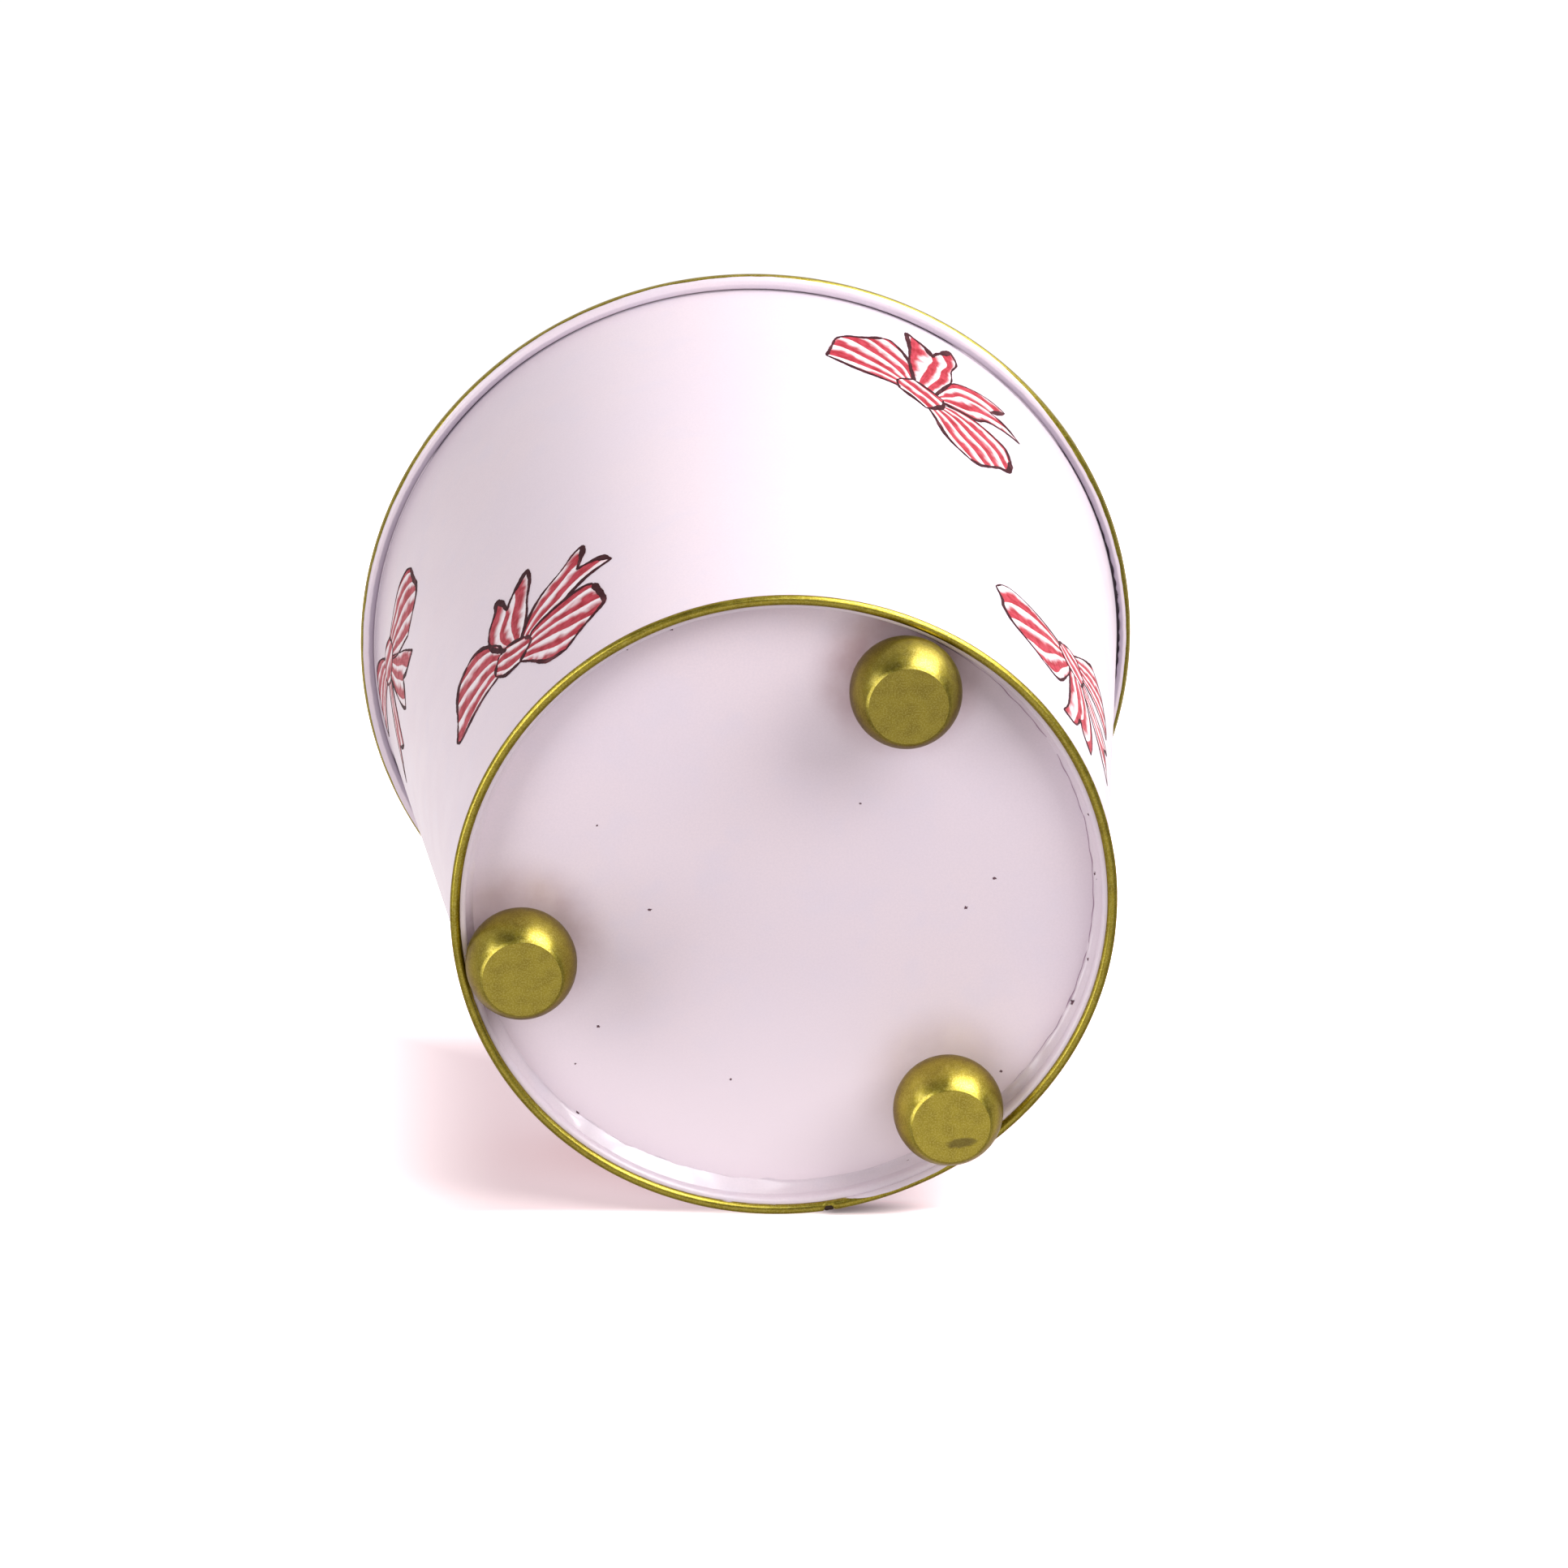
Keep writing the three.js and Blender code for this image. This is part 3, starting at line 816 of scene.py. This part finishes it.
def foot_piece(number, material):
    """A ball foot with a ground flat, not quite round."""
    low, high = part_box(f"foot_{number}")
    radius, height = foot_profile()
    angle = steps_round(160)
    uneven = ripple(angle + number, 50 + number, range(2, 6)) * np.sin(radius / FOOT_R * pi)
    points = around_axis(angle, radius[None, :] * (1 + 0.004 * uneven), height[None, :])
    points = points + middle_of(low, high)
    piece = grid_object(f"ball_foot_{number}", points, wrap_columns=False, sharp=60)
    show(piece, "gold_paint_wood", material, f"foot_{number}")


def cut_away(piece, cutter):
    """Cuts one closed object out of another and removes the cutter."""
    modifier = piece.modifiers.new("cut", "BOOLEAN")
    modifier.operation = "DIFFERENCE"
    modifier.object = cutter
    graph = bpy.context.evaluated_depsgraph_get()
    mesh = bpy.data.meshes.new_from_object(piece.evaluated_get(graph))
    piece.modifiers.remove(modifier)
    piece.data = mesh
    bpy.data.objects.remove(cutter)
    mesh.set_sharp_from_angle(angle=radians(30))


def box_object(name, low, high):
    corners = [(x, y, z) for x in (low[0], high[0]) for y in (low[1], high[1]) for z in (low[2], high[2])]
    faces = [(0, 1, 3, 2), (4, 6, 7, 5), (0, 4, 5, 1), (2, 3, 7, 6), (0, 2, 6, 4), (1, 5, 7, 3)]
    mesh = new_mesh(name, corners, faces)
    rework(mesh, join_points)
    return new_object(name, mesh)


def screw_piece(number, material):
    """A slotted pan-head screw with a domed, chamfered head."""
    low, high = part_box(f"foot_screw_{number}")
    middle = middle_of(low, high)
    head = (high.x - low.x) / 2
    seat = high.z - 1.9 * MM
    dome = np.linspace(radians(12), pi / 2, 12)
    radius = [0, 0.5 * MM, 1.2 * MM, 1.2 * MM, head - 0.15 * MM, head, head]
    height = [low.z, low.z + 0.8 * MM, low.z + 2 * MM, seat, seat, seat + 0.15 * MM, seat + 0.5 * MM]
    radius += list(head * np.cos(dome))
    height += list(seat + 0.2 * MM + 1.7 * MM * np.sin(dome))
    points = around_axis(steps_round(64), np.array([radius]), np.array([height])) + middle
    piece = grid_object(f"screw_{number}", points, wrap_columns=False, sharp=30)
    slot = 0.4 * MM
    half = 1.2 * head
    cutter = box_object("slot", (-half, -slot, high.z - 0.85 * MM), (half, slot, high.z + 1 * MM))
    cutter.rotation_euler = (0, 0, radians(35 * number))
    cutter.location = middle
    bpy.context.view_layer.update()
    cut_away(piece, cutter)
    show(piece, "zinc_steel", material, f"foot_screw_{number}")


def washer_piece(number, material):
    """A flat washer with rounded edges."""
    low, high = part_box(f"foot_washer_{number}")
    outer = (high.x - low.x) / 2
    bore = 1.5 * MM
    round_off = 0.12 * MM
    radius = [bore, outer - round_off, outer, outer, outer - round_off, bore]
    height = [low.z, low.z, low.z + round_off, high.z - round_off, high.z, high.z]
    points = around_axis(steps_round(64), np.array([radius]), np.array([height]))
    piece = grid_object(f"washer_{number}", points + middle_of(low, high), sharp=50)
    show(piece, "zinc_steel", material, f"foot_washer_{number}")


# ---------------------------------------------------------------- painted bows
# A bow is drawn flat, in millimetres: x runs round the pot and y runs up the slope of the wall. Each
# ribbon has two sides, from the knot outwards, and an end made of one or two curves. Its stripes run
# outwards, and slant lets them drift across the ribbon on the way. The control points are listed below.


def ribbon(low, high, end, rest=None, *, stripes, phase, slant=0.0, bulge=None):
    """low and high are the two sides. The end runs from the tip of low, through the points of end, to the
    tip of high. With rest, which goes on from end, the last point of end is a notch. bulge is a point that
    the start runs through."""
    if rest is None:
        ends = [[low[-1], *end, high[-1]]]
    else:
        ends = [[low[-1], *end], [end[-1], *rest, high[-1]]]
    start = [low[0], bulge, high[0]] if bulge else [low[0], high[0]]
    return {"sides": (low, high), "end": ends, "start": start, "look": (stripes, phase, slant)}


LEFT_LOW_BOW = [
    ribbon(
        [(-6, -6.2), (-12, -5.5), (-20, -5), (-22, -3)],
        [(-3.5, -0.5), (-4, 4), (-8, 10.5), (-11, 12.7), (-13, 12.8)],
        [(-20, 2), (-18.5, 8), (-16.5, 11.5)],
        stripes=3.6, phase=0.55, slant=0.6,
    ),
    ribbon(
        [(-2.5, -1), (-5.5, 5), (-6, 9), (-5, 13), (-2.7, 16.5), (-2, 20)],
        [(1.8, -3), (4, 4), (4.8, 9), (6.3, 15), (6.4, 19.8)],
        [(-0.7, 17), (0, 12.5)], [(1.5, 15), (4.5, 18)],
        stripes=2.8, phase=0.35, slant=-0.3,
    ),
    ribbon(
        [(3.2, -5.5), (5, -4), (12, -3), (14, -2), (18, 0), (23.2, 1.2)],
        [(1.3, -2.8), (4.5, 2), (8, 5.5), (13, 8.5), (16, 11.5), (18.3, 12.7)],
        [(21, 4), (19, 4.6), (16.2, 5)], [(17.8, 9.5)],
        stripes=2.2, phase=0.5, slant=0.2,
    ),
    ribbon(
        [(0, -10), (2.5, -14), (6, -19.5), (10.5, -21.3)],
        [(3.4, -6), (5, -3.7), (12, -3.1), (17, -3.2), (18.8, -4.5)],
        [(14, -18.5), (19.3, -14.5), (20.2, -12)],
        stripes=4.1, phase=0.7, slant=-0.5,
    ),
    ribbon(
        [(-6.5, -5), (-4, -8.7), (0, -10.3)],
        [(-4.5, 0), (-2, 0), (2.6, -3.6)],
        [(3.5, -7)],
        stripes=2.7, phase=0.6, bulge=(-5.9, -2.4),
    ),
]
RIGHT_HIGH_BOW = [
    ribbon(
        [(-5.6, -1.2), (-14, 0.2), (-20.5, 3.5)],
        [(-3, 4.2), (-3.5, 11), (-5, 15.5), (-7.2, 18.8), (-9, 18.8)],
        [(-19.2, 9), (-18.3, 12.5), (-16, 14.8), (-13, 16)],
        stripes=4.4, phase=0.0, slant=0.9,
    ),
    ribbon(
        [(-2.8, 4.2), (-3.6, 12), (-3.4, 19), (-4, 26)],
        [(1.8, 2.2), (5.3, 12), (5.6, 18), (6.8, 23), (5.5, 27.5)],
        [(0, 22.8), (1.2, 20)], [(2.6, 23), (3.6, 24.2)],
        stripes=2.9, phase=0.3, slant=-0.5,
    ),
    ribbon(
        [(3.5, 0.6), (10.5, 2), (14, 5.5), (19, 7.8), (22.5, 8.8)],
        [(1.8, 2.6), (5.5, 12), (10, 15.5), (15, 17), (18.5, 16.8)],
        [(18, 10.8), (14.5, 11)], [(16, 13)],
        stripes=3.2, phase=0.2, slant=0.3,
    ),
    ribbon(
        [(0.2, -5.8), (1.5, -8.5), (3.5, -13.5), (6, -16.5), (9.5, -18.5)],
        [(3.6, -0.4), (10, 1.3), (17.5, 0), (19, -1.5), (20, -5)],
        [(12, -17.8), (15, -14.5), (17, -12), (19.3, -10)],
        stripes=4.7, phase=0.55, slant=0.25,
    ),
    ribbon(
        [(-6, -2), (-3, -4), (-0.5, -6)],
        [(-3, 4.6), (1.5, 2.6), (3.5, 1.5)],
        [(1, -5), (3.3, -1.5)],
        stripes=2.6, phase=0.4, slant=0.6, bulge=(-6.3, 1.5),
    ),
]
RIGHT_LOW_BOW = [
    ribbon(
        [(1, 5), (0, 0), (-3, -7.5), (-8, -8.8)],
        [(-2.5, 8.5), (-15, 8), (-19, 6.5), (-21, 3.5)],
        [(-16, -6.5), (-19, -3), (-19.5, 0)],
        stripes=4.6, phase=0.3, slant=0.4,
    ),
    ribbon(
        [(0.5, 5.5), (1, -5), (0.5, -12), (-1.2, -17.5)],
        [(5.5, 7), (10, 0), (11.5, -8), (11, -13.5)],
        [(3.5, -15), (5.5, -9)], [(7, -12)],
        stripes=3.0, phase=0.1, slant=0.4,
    ),
    ribbon(
        [(5.6, 6.5), (12, 2), (18, 0.5), (24, 2)],
        [(5.6, 9.5), (12, 9), (18, 11), (22, 12)],
        [(22, 5), (19, 7.5)], [],
        stripes=2.8, phase=0.6, slant=-0.2,
    ),
    ribbon(
        [(6, 10), (12, 13), (21, 17)],
        [(2, 13), (6, 20), (10, 26)],
        [(20, 21), (16, 25)],
        stripes=4.4, phase=0.5, slant=0.4,
    ),
    ribbon(
        [(-3, 7), (0, 5), (5.5, 6)],
        [(-2, 10.5), (0.5, 12.7), (3, 13.7)],
        [(6.2, 10.5)],
        stripes=2.6, phase=0.2, slant=0.5, bulge=(-3, 9),
    ),
]
LEFT_HIGH_BOW = [
    ribbon(
        [(-9, 11), (-15, 15), (-20, 18), (-24, 22)],
        [(-6, 15.5), (-8, 21), (-11, 27), (-14, 31)],
        [(-23, 26), (-19, 30)],
        stripes=4.2, phase=0.2, slant=0.4,
    ),
    ribbon(
        [(-8.5, 9), (-14, 0), (-18, -8), (-21, -13)],
        [(-6, 6.5), (-8, 0), (-10, -8), (-12, -16)],
        [(-17, -11), (-15, -8.5)], [(-14, -12)],
        stripes=2.8, phase=0.4, slant=0.3,
    ),
    ribbon(
        [(-6.5, 6.5), (-6, -5), (-5, -13), (-3.7, -17.3)],
        [(-2, 6.5), (1.5, -1), (4, -6), (7, -13.3)],
        [(-1.5, -13), (-0.5, -9.5)], [(2, -12)],
        stripes=3.0, phase=0.0, slant=-0.3,
    ),
    ribbon(
        [(-2.5, 6), (1, 0), (7, -5.7)],
        [(-1, 12.5), (4, 13.5), (9, 14.5), (13, 13), (14.8, 10.5)],
        [(13, -2.5), (15, 1), (14.7, 5)],
        stripes=4.8, phase=0.3, slant=0.5,
    ),
    ribbon(
        [(-9, 9), (-7, 6.3), (-3, 5.3)],
        [(-7, 15.7), (-4, 16), (-0.6, 13)],
        [(-0.6, 8)],
        stripes=2.6, phase=0.5, slant=0.6, bulge=(-9.2, 12.5),
    ),
]

# Drawing, azimuth and height of its origin, whether it is mirrored, and how heavy its outlines are.
BOWS = {
    "left_low": (LEFT_LOW_BOW, -141, 47, False, 1.3),
    "right_high": (RIGHT_HIGH_BOW, -63, 118, False, 1.1),
    "right_low": (RIGHT_LOW_BOW, -31, 47, False, 0.78),
    "left_high": (LEFT_HIGH_BOW, -172, 116, False, 0.85),
    "back_high": (RIGHT_HIGH_BOW, 55, 115, True, 1.1),
    "back_low": (LEFT_LOW_BOW, 118, 47, True, 1.2),
}
FILL_HEIGHT = 0.05 * MM
LINE_HEIGHT = 0.09 * MM
SUNK = 0.08 * MM  # how deep the paint reaches into the wall
STROKE_STEP = 0.3  # distance along a stroke between its points, in the drawing's millimetres


def spline(points, count):
    """A smooth curve through points, as count evenly spaced points."""
    points = np.array(points, float)
    padded = np.vstack([2 * points[0] - points[1], points, 2 * points[-1] - points[-2]])
    reach = np.linspace(0, len(points) - 1, 4 * count)
    index = np.minimum(reach.astype(int), len(points) - 2)
    t = (reach - index)[:, None]
    a, b, c, d = (padded[index + k] for k in range(4))
    curve = 2 * b + (c - a) * t + (2 * a - 5 * b + 4 * c - d) * t**2 + (3 * b - a - 3 * c + d) * t**3
    return evenly(curve / 2, count)


def evenly(curve, count):
    """The same curve with its points evenly spaced."""
    length = np.concatenate([[0], np.cumsum(np.linalg.norm(np.diff(curve, axis=0), axis=1))])
    at = np.linspace(0, length[-1], count)
    return np.stack([np.interp(at, length, curve[:, k]) for k in range(2)], 1)


def joined(curves, count):
    """One curve from one or two, with its points evenly shared, so that a notch stays sharp."""
    share = count // len(curves)
    parts = [spline(c, share + 1) for c in curves]
    return np.vstack([parts[0], *(part[1:] for part in parts[1:])])


def ribbon_patch(shape, across=36, along=44):
    """Points [across, along] of a ribbon, blended from its four edges."""
    first, second = (spline(side, along + 1) for side in shape["sides"])
    end = joined(shape["end"], across)
    start = spline(shape["start"], len(end))
    s = np.linspace(0, 1, len(end))[:, None, None]
    t = np.linspace(0, 1, len(first))[None, :, None]
    sides = (1 - s) * first[None] + s * second[None]
    ends = (1 - t) * start[:, None] + t * end[:, None]
    low = (1 - s) * start[0] + s * start[-1]
    high = (1 - s) * end[0] + s * end[-1]
    return sides + ends - (1 - t) * low - t * high


class Placing:
    """Lays a flat drawing in millimetres on the wall."""

    def __init__(self, azimuth, height, mirrored, seed):
        self.azimuth = radians(azimuth)
        self.height = height * MM
        self.side = -1 if mirrored else 1
        self.seed = seed

    def on_wall(self, flat, lift):
        across = self.side * flat[..., 0] * MM
        if self.side < 0:
            across = across + 0.4 * MM * np.sin(flat[..., 1] / 6.1 + self.seed)
        z = self.height + flat[..., 1] * MM * cos(TAPER)
        angle = self.azimuth + across / outer_radius(self.height)
        return around_axis(angle, outer_radius(z) + lift / cos(TAPER), z)


def ribbon_slab(placing, shape, lift):
    """A thin closed sheet of paint. U counts the stripes and V runs outwards."""
    patch = ribbon_patch(shape)
    rows, columns = patch.shape[:2]
    stripes, phase, slant = shape["look"]
    t = np.linspace(0, 1, columns)[None, :]
    u = np.linspace(0, 1, rows)[:, None] * stripes + phase + slant * t
    uv = np.stack(np.broadcast_arrays(u, 6 * t), -1).reshape(-1, 2)
    faces = grid_faces(rows, columns, False, False)
    count = rows * columns
    number = np.arange(count).reshape(rows, columns)
    edge = np.concatenate([number[:, 0], number[-1, 1:], number[-2::-1, -1], number[0, -2:0:-1]])
    after = np.roll(edge, -1)
    rim = np.stack([edge, after, after + count, edge + count], 1)
    top = placing.on_wall(patch, lift).reshape(-1, 3)
    bottom = placing.on_wall(patch, -SUNK).reshape(-1, 3)
    return np.vstack([top, bottom]), np.vstack([faces, faces[:, ::-1] + count, rim]), np.vstack([uv, uv])


def brush_line(placing, curve, width, seed):
    """A flat stroke of changing width along a curve, narrower at both ends."""
    length = np.linalg.norm(np.diff(curve, axis=0), axis=1).sum()
    count = max(14, int(length / STROKE_STEP))
    line = evenly(curve, count)
    run = np.gradient(line, axis=0)
    run = run / np.linalg.norm(run, axis=1)[:, None]
    side = np.stack([-run[:, 1], run[:, 0]], 1)
    t = np.linspace(0, 1, count)
    rng = np.random.default_rng(seed)
    press = 0.85 + 0.35 * np.sin(t * rng.uniform(3, 8) + rng.uniform(0, TURN))
    shake = 0.1 * np.sin(t * length * 2.1 + seed) + 0.06 * np.sin(t * length * 5.3 + 2 * seed)
    ends = np.clip(np.minimum(t, 1 - t) * count / 2.5, 0.25, 1)
    half = (width / 2 * (press + shake).clip(0.35, 1.4) * np.sqrt(ends))[:, None]
    left, right = line + side * half, line - side * half
    rows = [placing.on_wall(left, LINE_HEIGHT), placing.on_wall(right, LINE_HEIGHT)]
    rows += [placing.on_wall(right, -SUNK), placing.on_wall(left, -SUNK)]
    faces = grid_faces(count, 4, False, True)
    last = 4 * count
    ends = np.array([[0, 1, 2, 3], [last - 1, last - 2, last - 3, last - 4]])
    return np.stack(rows, 1).reshape(-1, 3), np.vstack([faces, ends]), np.zeros((last, 2))


def outlines(placing, shape, seed, heavy):
    """Strokes round a ribbon: thin along its sides, heavier round its end."""
    rng = np.random.default_rng(seed)
    made = []
    for part, first, light, dark in (("sides", seed, 0.55, 0.8), ("end", seed + 7, 0.8, 1.2)):
        for k, curve in enumerate(shape[part], first):
            made.append(brush_line(placing, spline(curve, 60), heavy * rng.uniform(light, dark), k))
    if len(shape["start"]) > 2:
        made.append(brush_line(placing, spline(shape["start"], 40), heavy * 0.7, seed + 11))
    return made


def merged_object(name, parts, uv_name=None):
    """One object from several sets of points, faces and UVs."""
    count = 0
    faces = []
    for part_points, part_faces, _ in parts:
        faces.append(part_faces + count)
        count += len(part_points)
    points = np.vstack([part_points for part_points, _, _ in parts])
    mesh = new_mesh(name, points.tolist(), np.vstack(faces).tolist())
    if uv_name:
        layer = mesh.uv_layers.new(name=uv_name)
        corner = np.zeros(len(mesh.loops), int)
        mesh.loops.foreach_get("vertex_index", corner)
        layer.data.foreach_set("uv", np.vstack([uv for _, _, uv in parts])[corner].ravel())
    rework(mesh)
    return new_object(name, mesh, 50)


def painted_bow(name, seed, ribbon_material, line_material):
    """One bow of the wall: a piece for its ribbons and a piece for its outlines."""
    drawing, azimuth, height, mirrored, heavy = BOWS[name]
    placing = Placing(azimuth, height, mirrored, seed)
    fills = []
    lines = []
    for k, shape in enumerate(drawing):
        fills.append(ribbon_slab(placing, shape, FILL_HEIGHT * (1 + 0.12 * k)))
        lines += outlines(placing, shape, 100 * seed + 20 * k, heavy)
    show(merged_object(f"bow_{name}_ribbon", fills, "ribbon"), "bow_paint", ribbon_material)
    show(merged_object(f"bow_{name}_outline", lines), "bow_paint", line_material)


# ---------------------------------------------------------------- stage, lights and camera


def table_tilt():
    """Angle from the pot's axis to the table that its rim and base ring lie on, at the +Y side."""
    out, up = BEAD_R - RING_R, BEAD_Z - RING_Z
    return atan2(out, up) + asin((RIM_BEAD - RING_WIRE) / hypot(out, up))


def off_the_table(n):
    """1 away from the part of the table that the pot lies on, where the table glows white; shadows show
    only inside that part.
    """
    x, y, _ = n.xyz()
    aside = n.ramp(n.math("ABSOLUTE", x), 46 * MM, 108 * MM)
    before = n.ramp(y, -4 * MM, 4 * MM, 1.0, 0.0)
    behind = n.ramp(y, 90 * MM, 150 * MM)
    return n.math("MAXIMUM", n.math("MAXIMUM", aside, before), behind)


def off_the_ground(n):
    """1 away from the ground under the feet, where the ground glows white; nearer the feet its glow is
    weaker.
    """
    x, y, _ = n.xyz()
    away, _ = from_axis(n, x, y)
    return n.ramp(away, 80 * MM, 260 * MM)


def painted_ring_shadow(n):
    """Painted shadow on the table in the narrow gap beside the place where the base ring touches it."""
    x, y, _ = n.xyz()
    along = n.times(n.ramp(x, 5 * MM, 11 * MM), n.ramp(x, 11 * MM, 32 * MM, 1.0, 0.0))
    above = n.times(n.ramp(y, -3 * MM, 1.5 * MM), n.ramp(y, 3 * MM, 9 * MM, 1.0, 0.0))
    return n.times(along, above, 0.75)


def one_sided_white(name, glow, colour, beyond, shade=None):
    """A pale floor that is clear from behind, so that it never hides the pot. It glows white where
    beyond(n) is 1, so that its edges never show, and glows less elsewhere, so that shadows show there.
    Where shade(n) is 1 it is darkened with painted shadow."""
    n = Paint(name)
    strength = n.add(glow, n.times(beyond(n), 1.2))
    if shade:
        light = n.minus(1.0, shade(n))
        strength = n.times(strength, light)
        colour = n.blend(light, tuple(0.1 * c for c in colour), colour)
    n.tree.nodes.remove(n.shader)
    diffuse = n.new("BsdfDiffuse")
    n.link((*colour, 1) if isinstance(colour, tuple) else colour, diffuse.inputs["Color"])
    emission = n.new("Emission")
    emission.inputs["Color"].default_value = (1, 0.92, 0.93, 1)
    n.link(strength, emission.inputs["Strength"])
    both = n.new("AddShader")
    n.link(diffuse.outputs[0], both.inputs[0])
    n.link(emission.outputs[0], both.inputs[1])
    sides = n.new("MixShader")
    n.link(n.new("NewGeometry").outputs["Backfacing"], sides.inputs[0])
    n.link(both.outputs[0], sides.inputs[1])
    n.link(n.new("BsdfTransparent").outputs[0], sides.inputs[2])
    n.link(sides.outputs[0], n.tree.nodes["Material Output"].inputs["Surface"])
    return n.material


def floor(name, place, normal, glow, colour, beyond, shade=None):
    """A plane whose own X is the world's."""
    half = 0.7
    corners = [(x * half, y * half, 0) for x, y in ((-1, -1), (1, -1), (1, 1), (-1, 1))]
    plane = in_scene(name, new_mesh(name, corners, [(0, 1, 2, 3)]))
    plane.location = place
    plane.rotation_mode = "QUATERNION"
    turned = Matrix((Vector((1, 0, 0)), Vector(normal).cross(Vector((1, 0, 0))), Vector(normal)))
    plane.rotation_quaternion = turned.transposed().to_quaternion()
    plane.data.materials.append(one_sided_white(name, glow, colour, beyond, shade))
    for ray in ("diffuse", "glossy", "transmission", "volume_scatter", "shadow"):
        setattr(plane, f"visible_{ray}", False)


def soft_box(name, azimuth, elevation, width, height, power, diffuse=True, glossy=True):
    """An oval light aimed at the pot. It lights surfaces, shows in reflections, or does both."""
    light = bpy.data.lights.new(name, "AREA")
    light.shape = "ELLIPSE"
    light.size = width
    light.size_y = height
    light.energy = power
    lamp = in_scene(name, light)
    azimuth, elevation = radians(azimuth), radians(elevation)
    level = cos(elevation)
    out = Vector((level * cos(azimuth), level * sin(azimuth), sin(elevation)))
    lamp.visible_diffuse = diffuse
    lamp.visible_glossy = glossy
    lamp.location = Vector((0, 0, BEAD_Z / 2)) + out * LIGHT_DISTANCE
    lamp.rotation_mode = "QUATERNION"
    lamp.rotation_quaternion = (-out).to_track_quat("-Z", "Y")


def studio_world():
    """White to the camera. As light, a weak warm glow: from the table, from above, and from below."""
    world = bpy.data.worlds.new("studio")
    bpy.context.scene.world = world
    world.use_nodes = True
    n = Nodes(world.node_tree)
    n.tree.nodes.clear()
    direction = n.new("TexCoord").outputs["Generated"]
    total = 0.02
    for toward, start, full, strength in GLOWS:
        side = n.new("VectorMath")
        side.operation = "DOT_PRODUCT"
        side.inputs[1].default_value = Vector(toward).normalized()
        n.link(direction, side.inputs[0])
        total = n.add(total, n.ramp(side.outputs["Value"], start, full, 0, strength))
    light = n.new("Background")
    light.inputs["Color"].default_value = (1.0, 0.93, 0.94, 1)
    n.link(total, light.inputs["Strength"])
    seen = n.new("Background")
    seen.inputs["Strength"].default_value = 1.3
    either = n.new("MixShader")
    n.link(n.new("LightPath").outputs["Is Camera Ray"], either.inputs[0])
    n.link(light.outputs[0], either.inputs[1])
    n.link(seen.outputs[0], either.inputs[2])
    n.link(either.outputs[0], n.new("OutputWorld").inputs["Surface"])


# Direction of each glow, the cosines between which it fades in, and its strength.
GLOWS = [
    ((0, 0.94, -0.34), -0.35, 0.45, 0.36),
    ((0, 0, 1), -0.2, 0.7, 0.85),
    ((0.06, 0.36, -0.93), 0.7, 0.95, 0.5),
    ((-0.6, 0.1, -0.75), 0.6, 0.95, 0.2),
]
LIGHT_DISTANCE = 0.95
CAMERA_PLACE = Vector((-69.5, -452.5, -1083.0)) * MM
CAMERA_TURN = Euler([radians(a) for a in (158.61, 3.13, -1.20)])
CAMERA_LENS = 151.8


def stage():
    """The table and the ground, the lights and the camera."""
    tilt = table_tilt()
    normal = Vector((0, -cos(tilt), sin(tilt)))
    touch = Vector((0, RING_R, RING_Z)) - normal * RING_WIRE
    # The table glows white away from the pot and carries painted shadow beside the base ring.
    floor("table", touch, normal, 0.22, (0.9, 0.75, 0.76), off_the_table, painted_ring_shadow)
    floor("ground", (0, 0, 0), (0, 0, 1), 0.4, (0.75, 0.72, 0.73), off_the_ground)
    studio_world()
    soft_box("key_light", -48, 14, 0.5, 0.54, 6.2, glossy=False)
    soft_box("key_fill", -44, -7, 0.74, 0.68, 3.8, glossy=False)
    soft_box("key_glint", -58, -4, 0.72, 0.56, 13.0, diffuse=False)
    soft_box("wide_glint", -54, 24, 0.7, 0.5, 3.6, diffuse=False)
    soft_box("left_glint", -152, -8, 0.3, 0.3, 1.3, diffuse=False)
    soft_box("low_light", -45, -34, 0.6, 0.45, 4.0)
    soft_box("front_light", -75, -35, 0.5, 0.4, 1.6)
    soft_box("left_low_light", -150, -35, 0.5, 0.4, 2.8)
    soft_box("left_light", 178, -30, 0.5, 0.4, 1.9)
    camera = bpy.data.cameras.new("camera")
    camera.lens = CAMERA_LENS
    camera.sensor_width = 36
    camera.clip_start = 0.05
    camera.clip_end = 50
    holder = in_scene("camera", camera)
    holder.location = CAMERA_PLACE
    holder.rotation_euler = CAMERA_TURN
    bpy.context.scene.camera = holder
    bpy.context.scene.view_settings.view_transform = "Standard"


def build():
    wall_piece()
    crevice_paint()
    ring_piece()
    joint_grime_piece()
    plate_piece()
    fillet_piece()
    crack_piece()
    flecks_piece()
    zinc = steel("zinc_plate")
    # Each foot's gold is scaled by its own brightness: painted light, for how brightly that foot is lit.
    for number, bright in ((1, 0.86), (2, 1.2), (3, 1.0)):
        low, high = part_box(f"foot_{number}")
        rubbed = middle_of(low, high) if number == RUBBED_FOOT else None
        foot_piece(number, gold_paint(f"foot_gilding_{number}", bright, rubbed))
        screw_piece(number, zinc)
        washer_piece(number, zinc)
    ribbon = ribbon_paint()
    line = outline_paint()
    for seed, name in enumerate(BOWS, 1):
        painted_bow(name, seed, ribbon, line)
    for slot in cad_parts["rim_wire"].material_slots:
        slot.material = steel("drawn_wire")
    stage()


build()
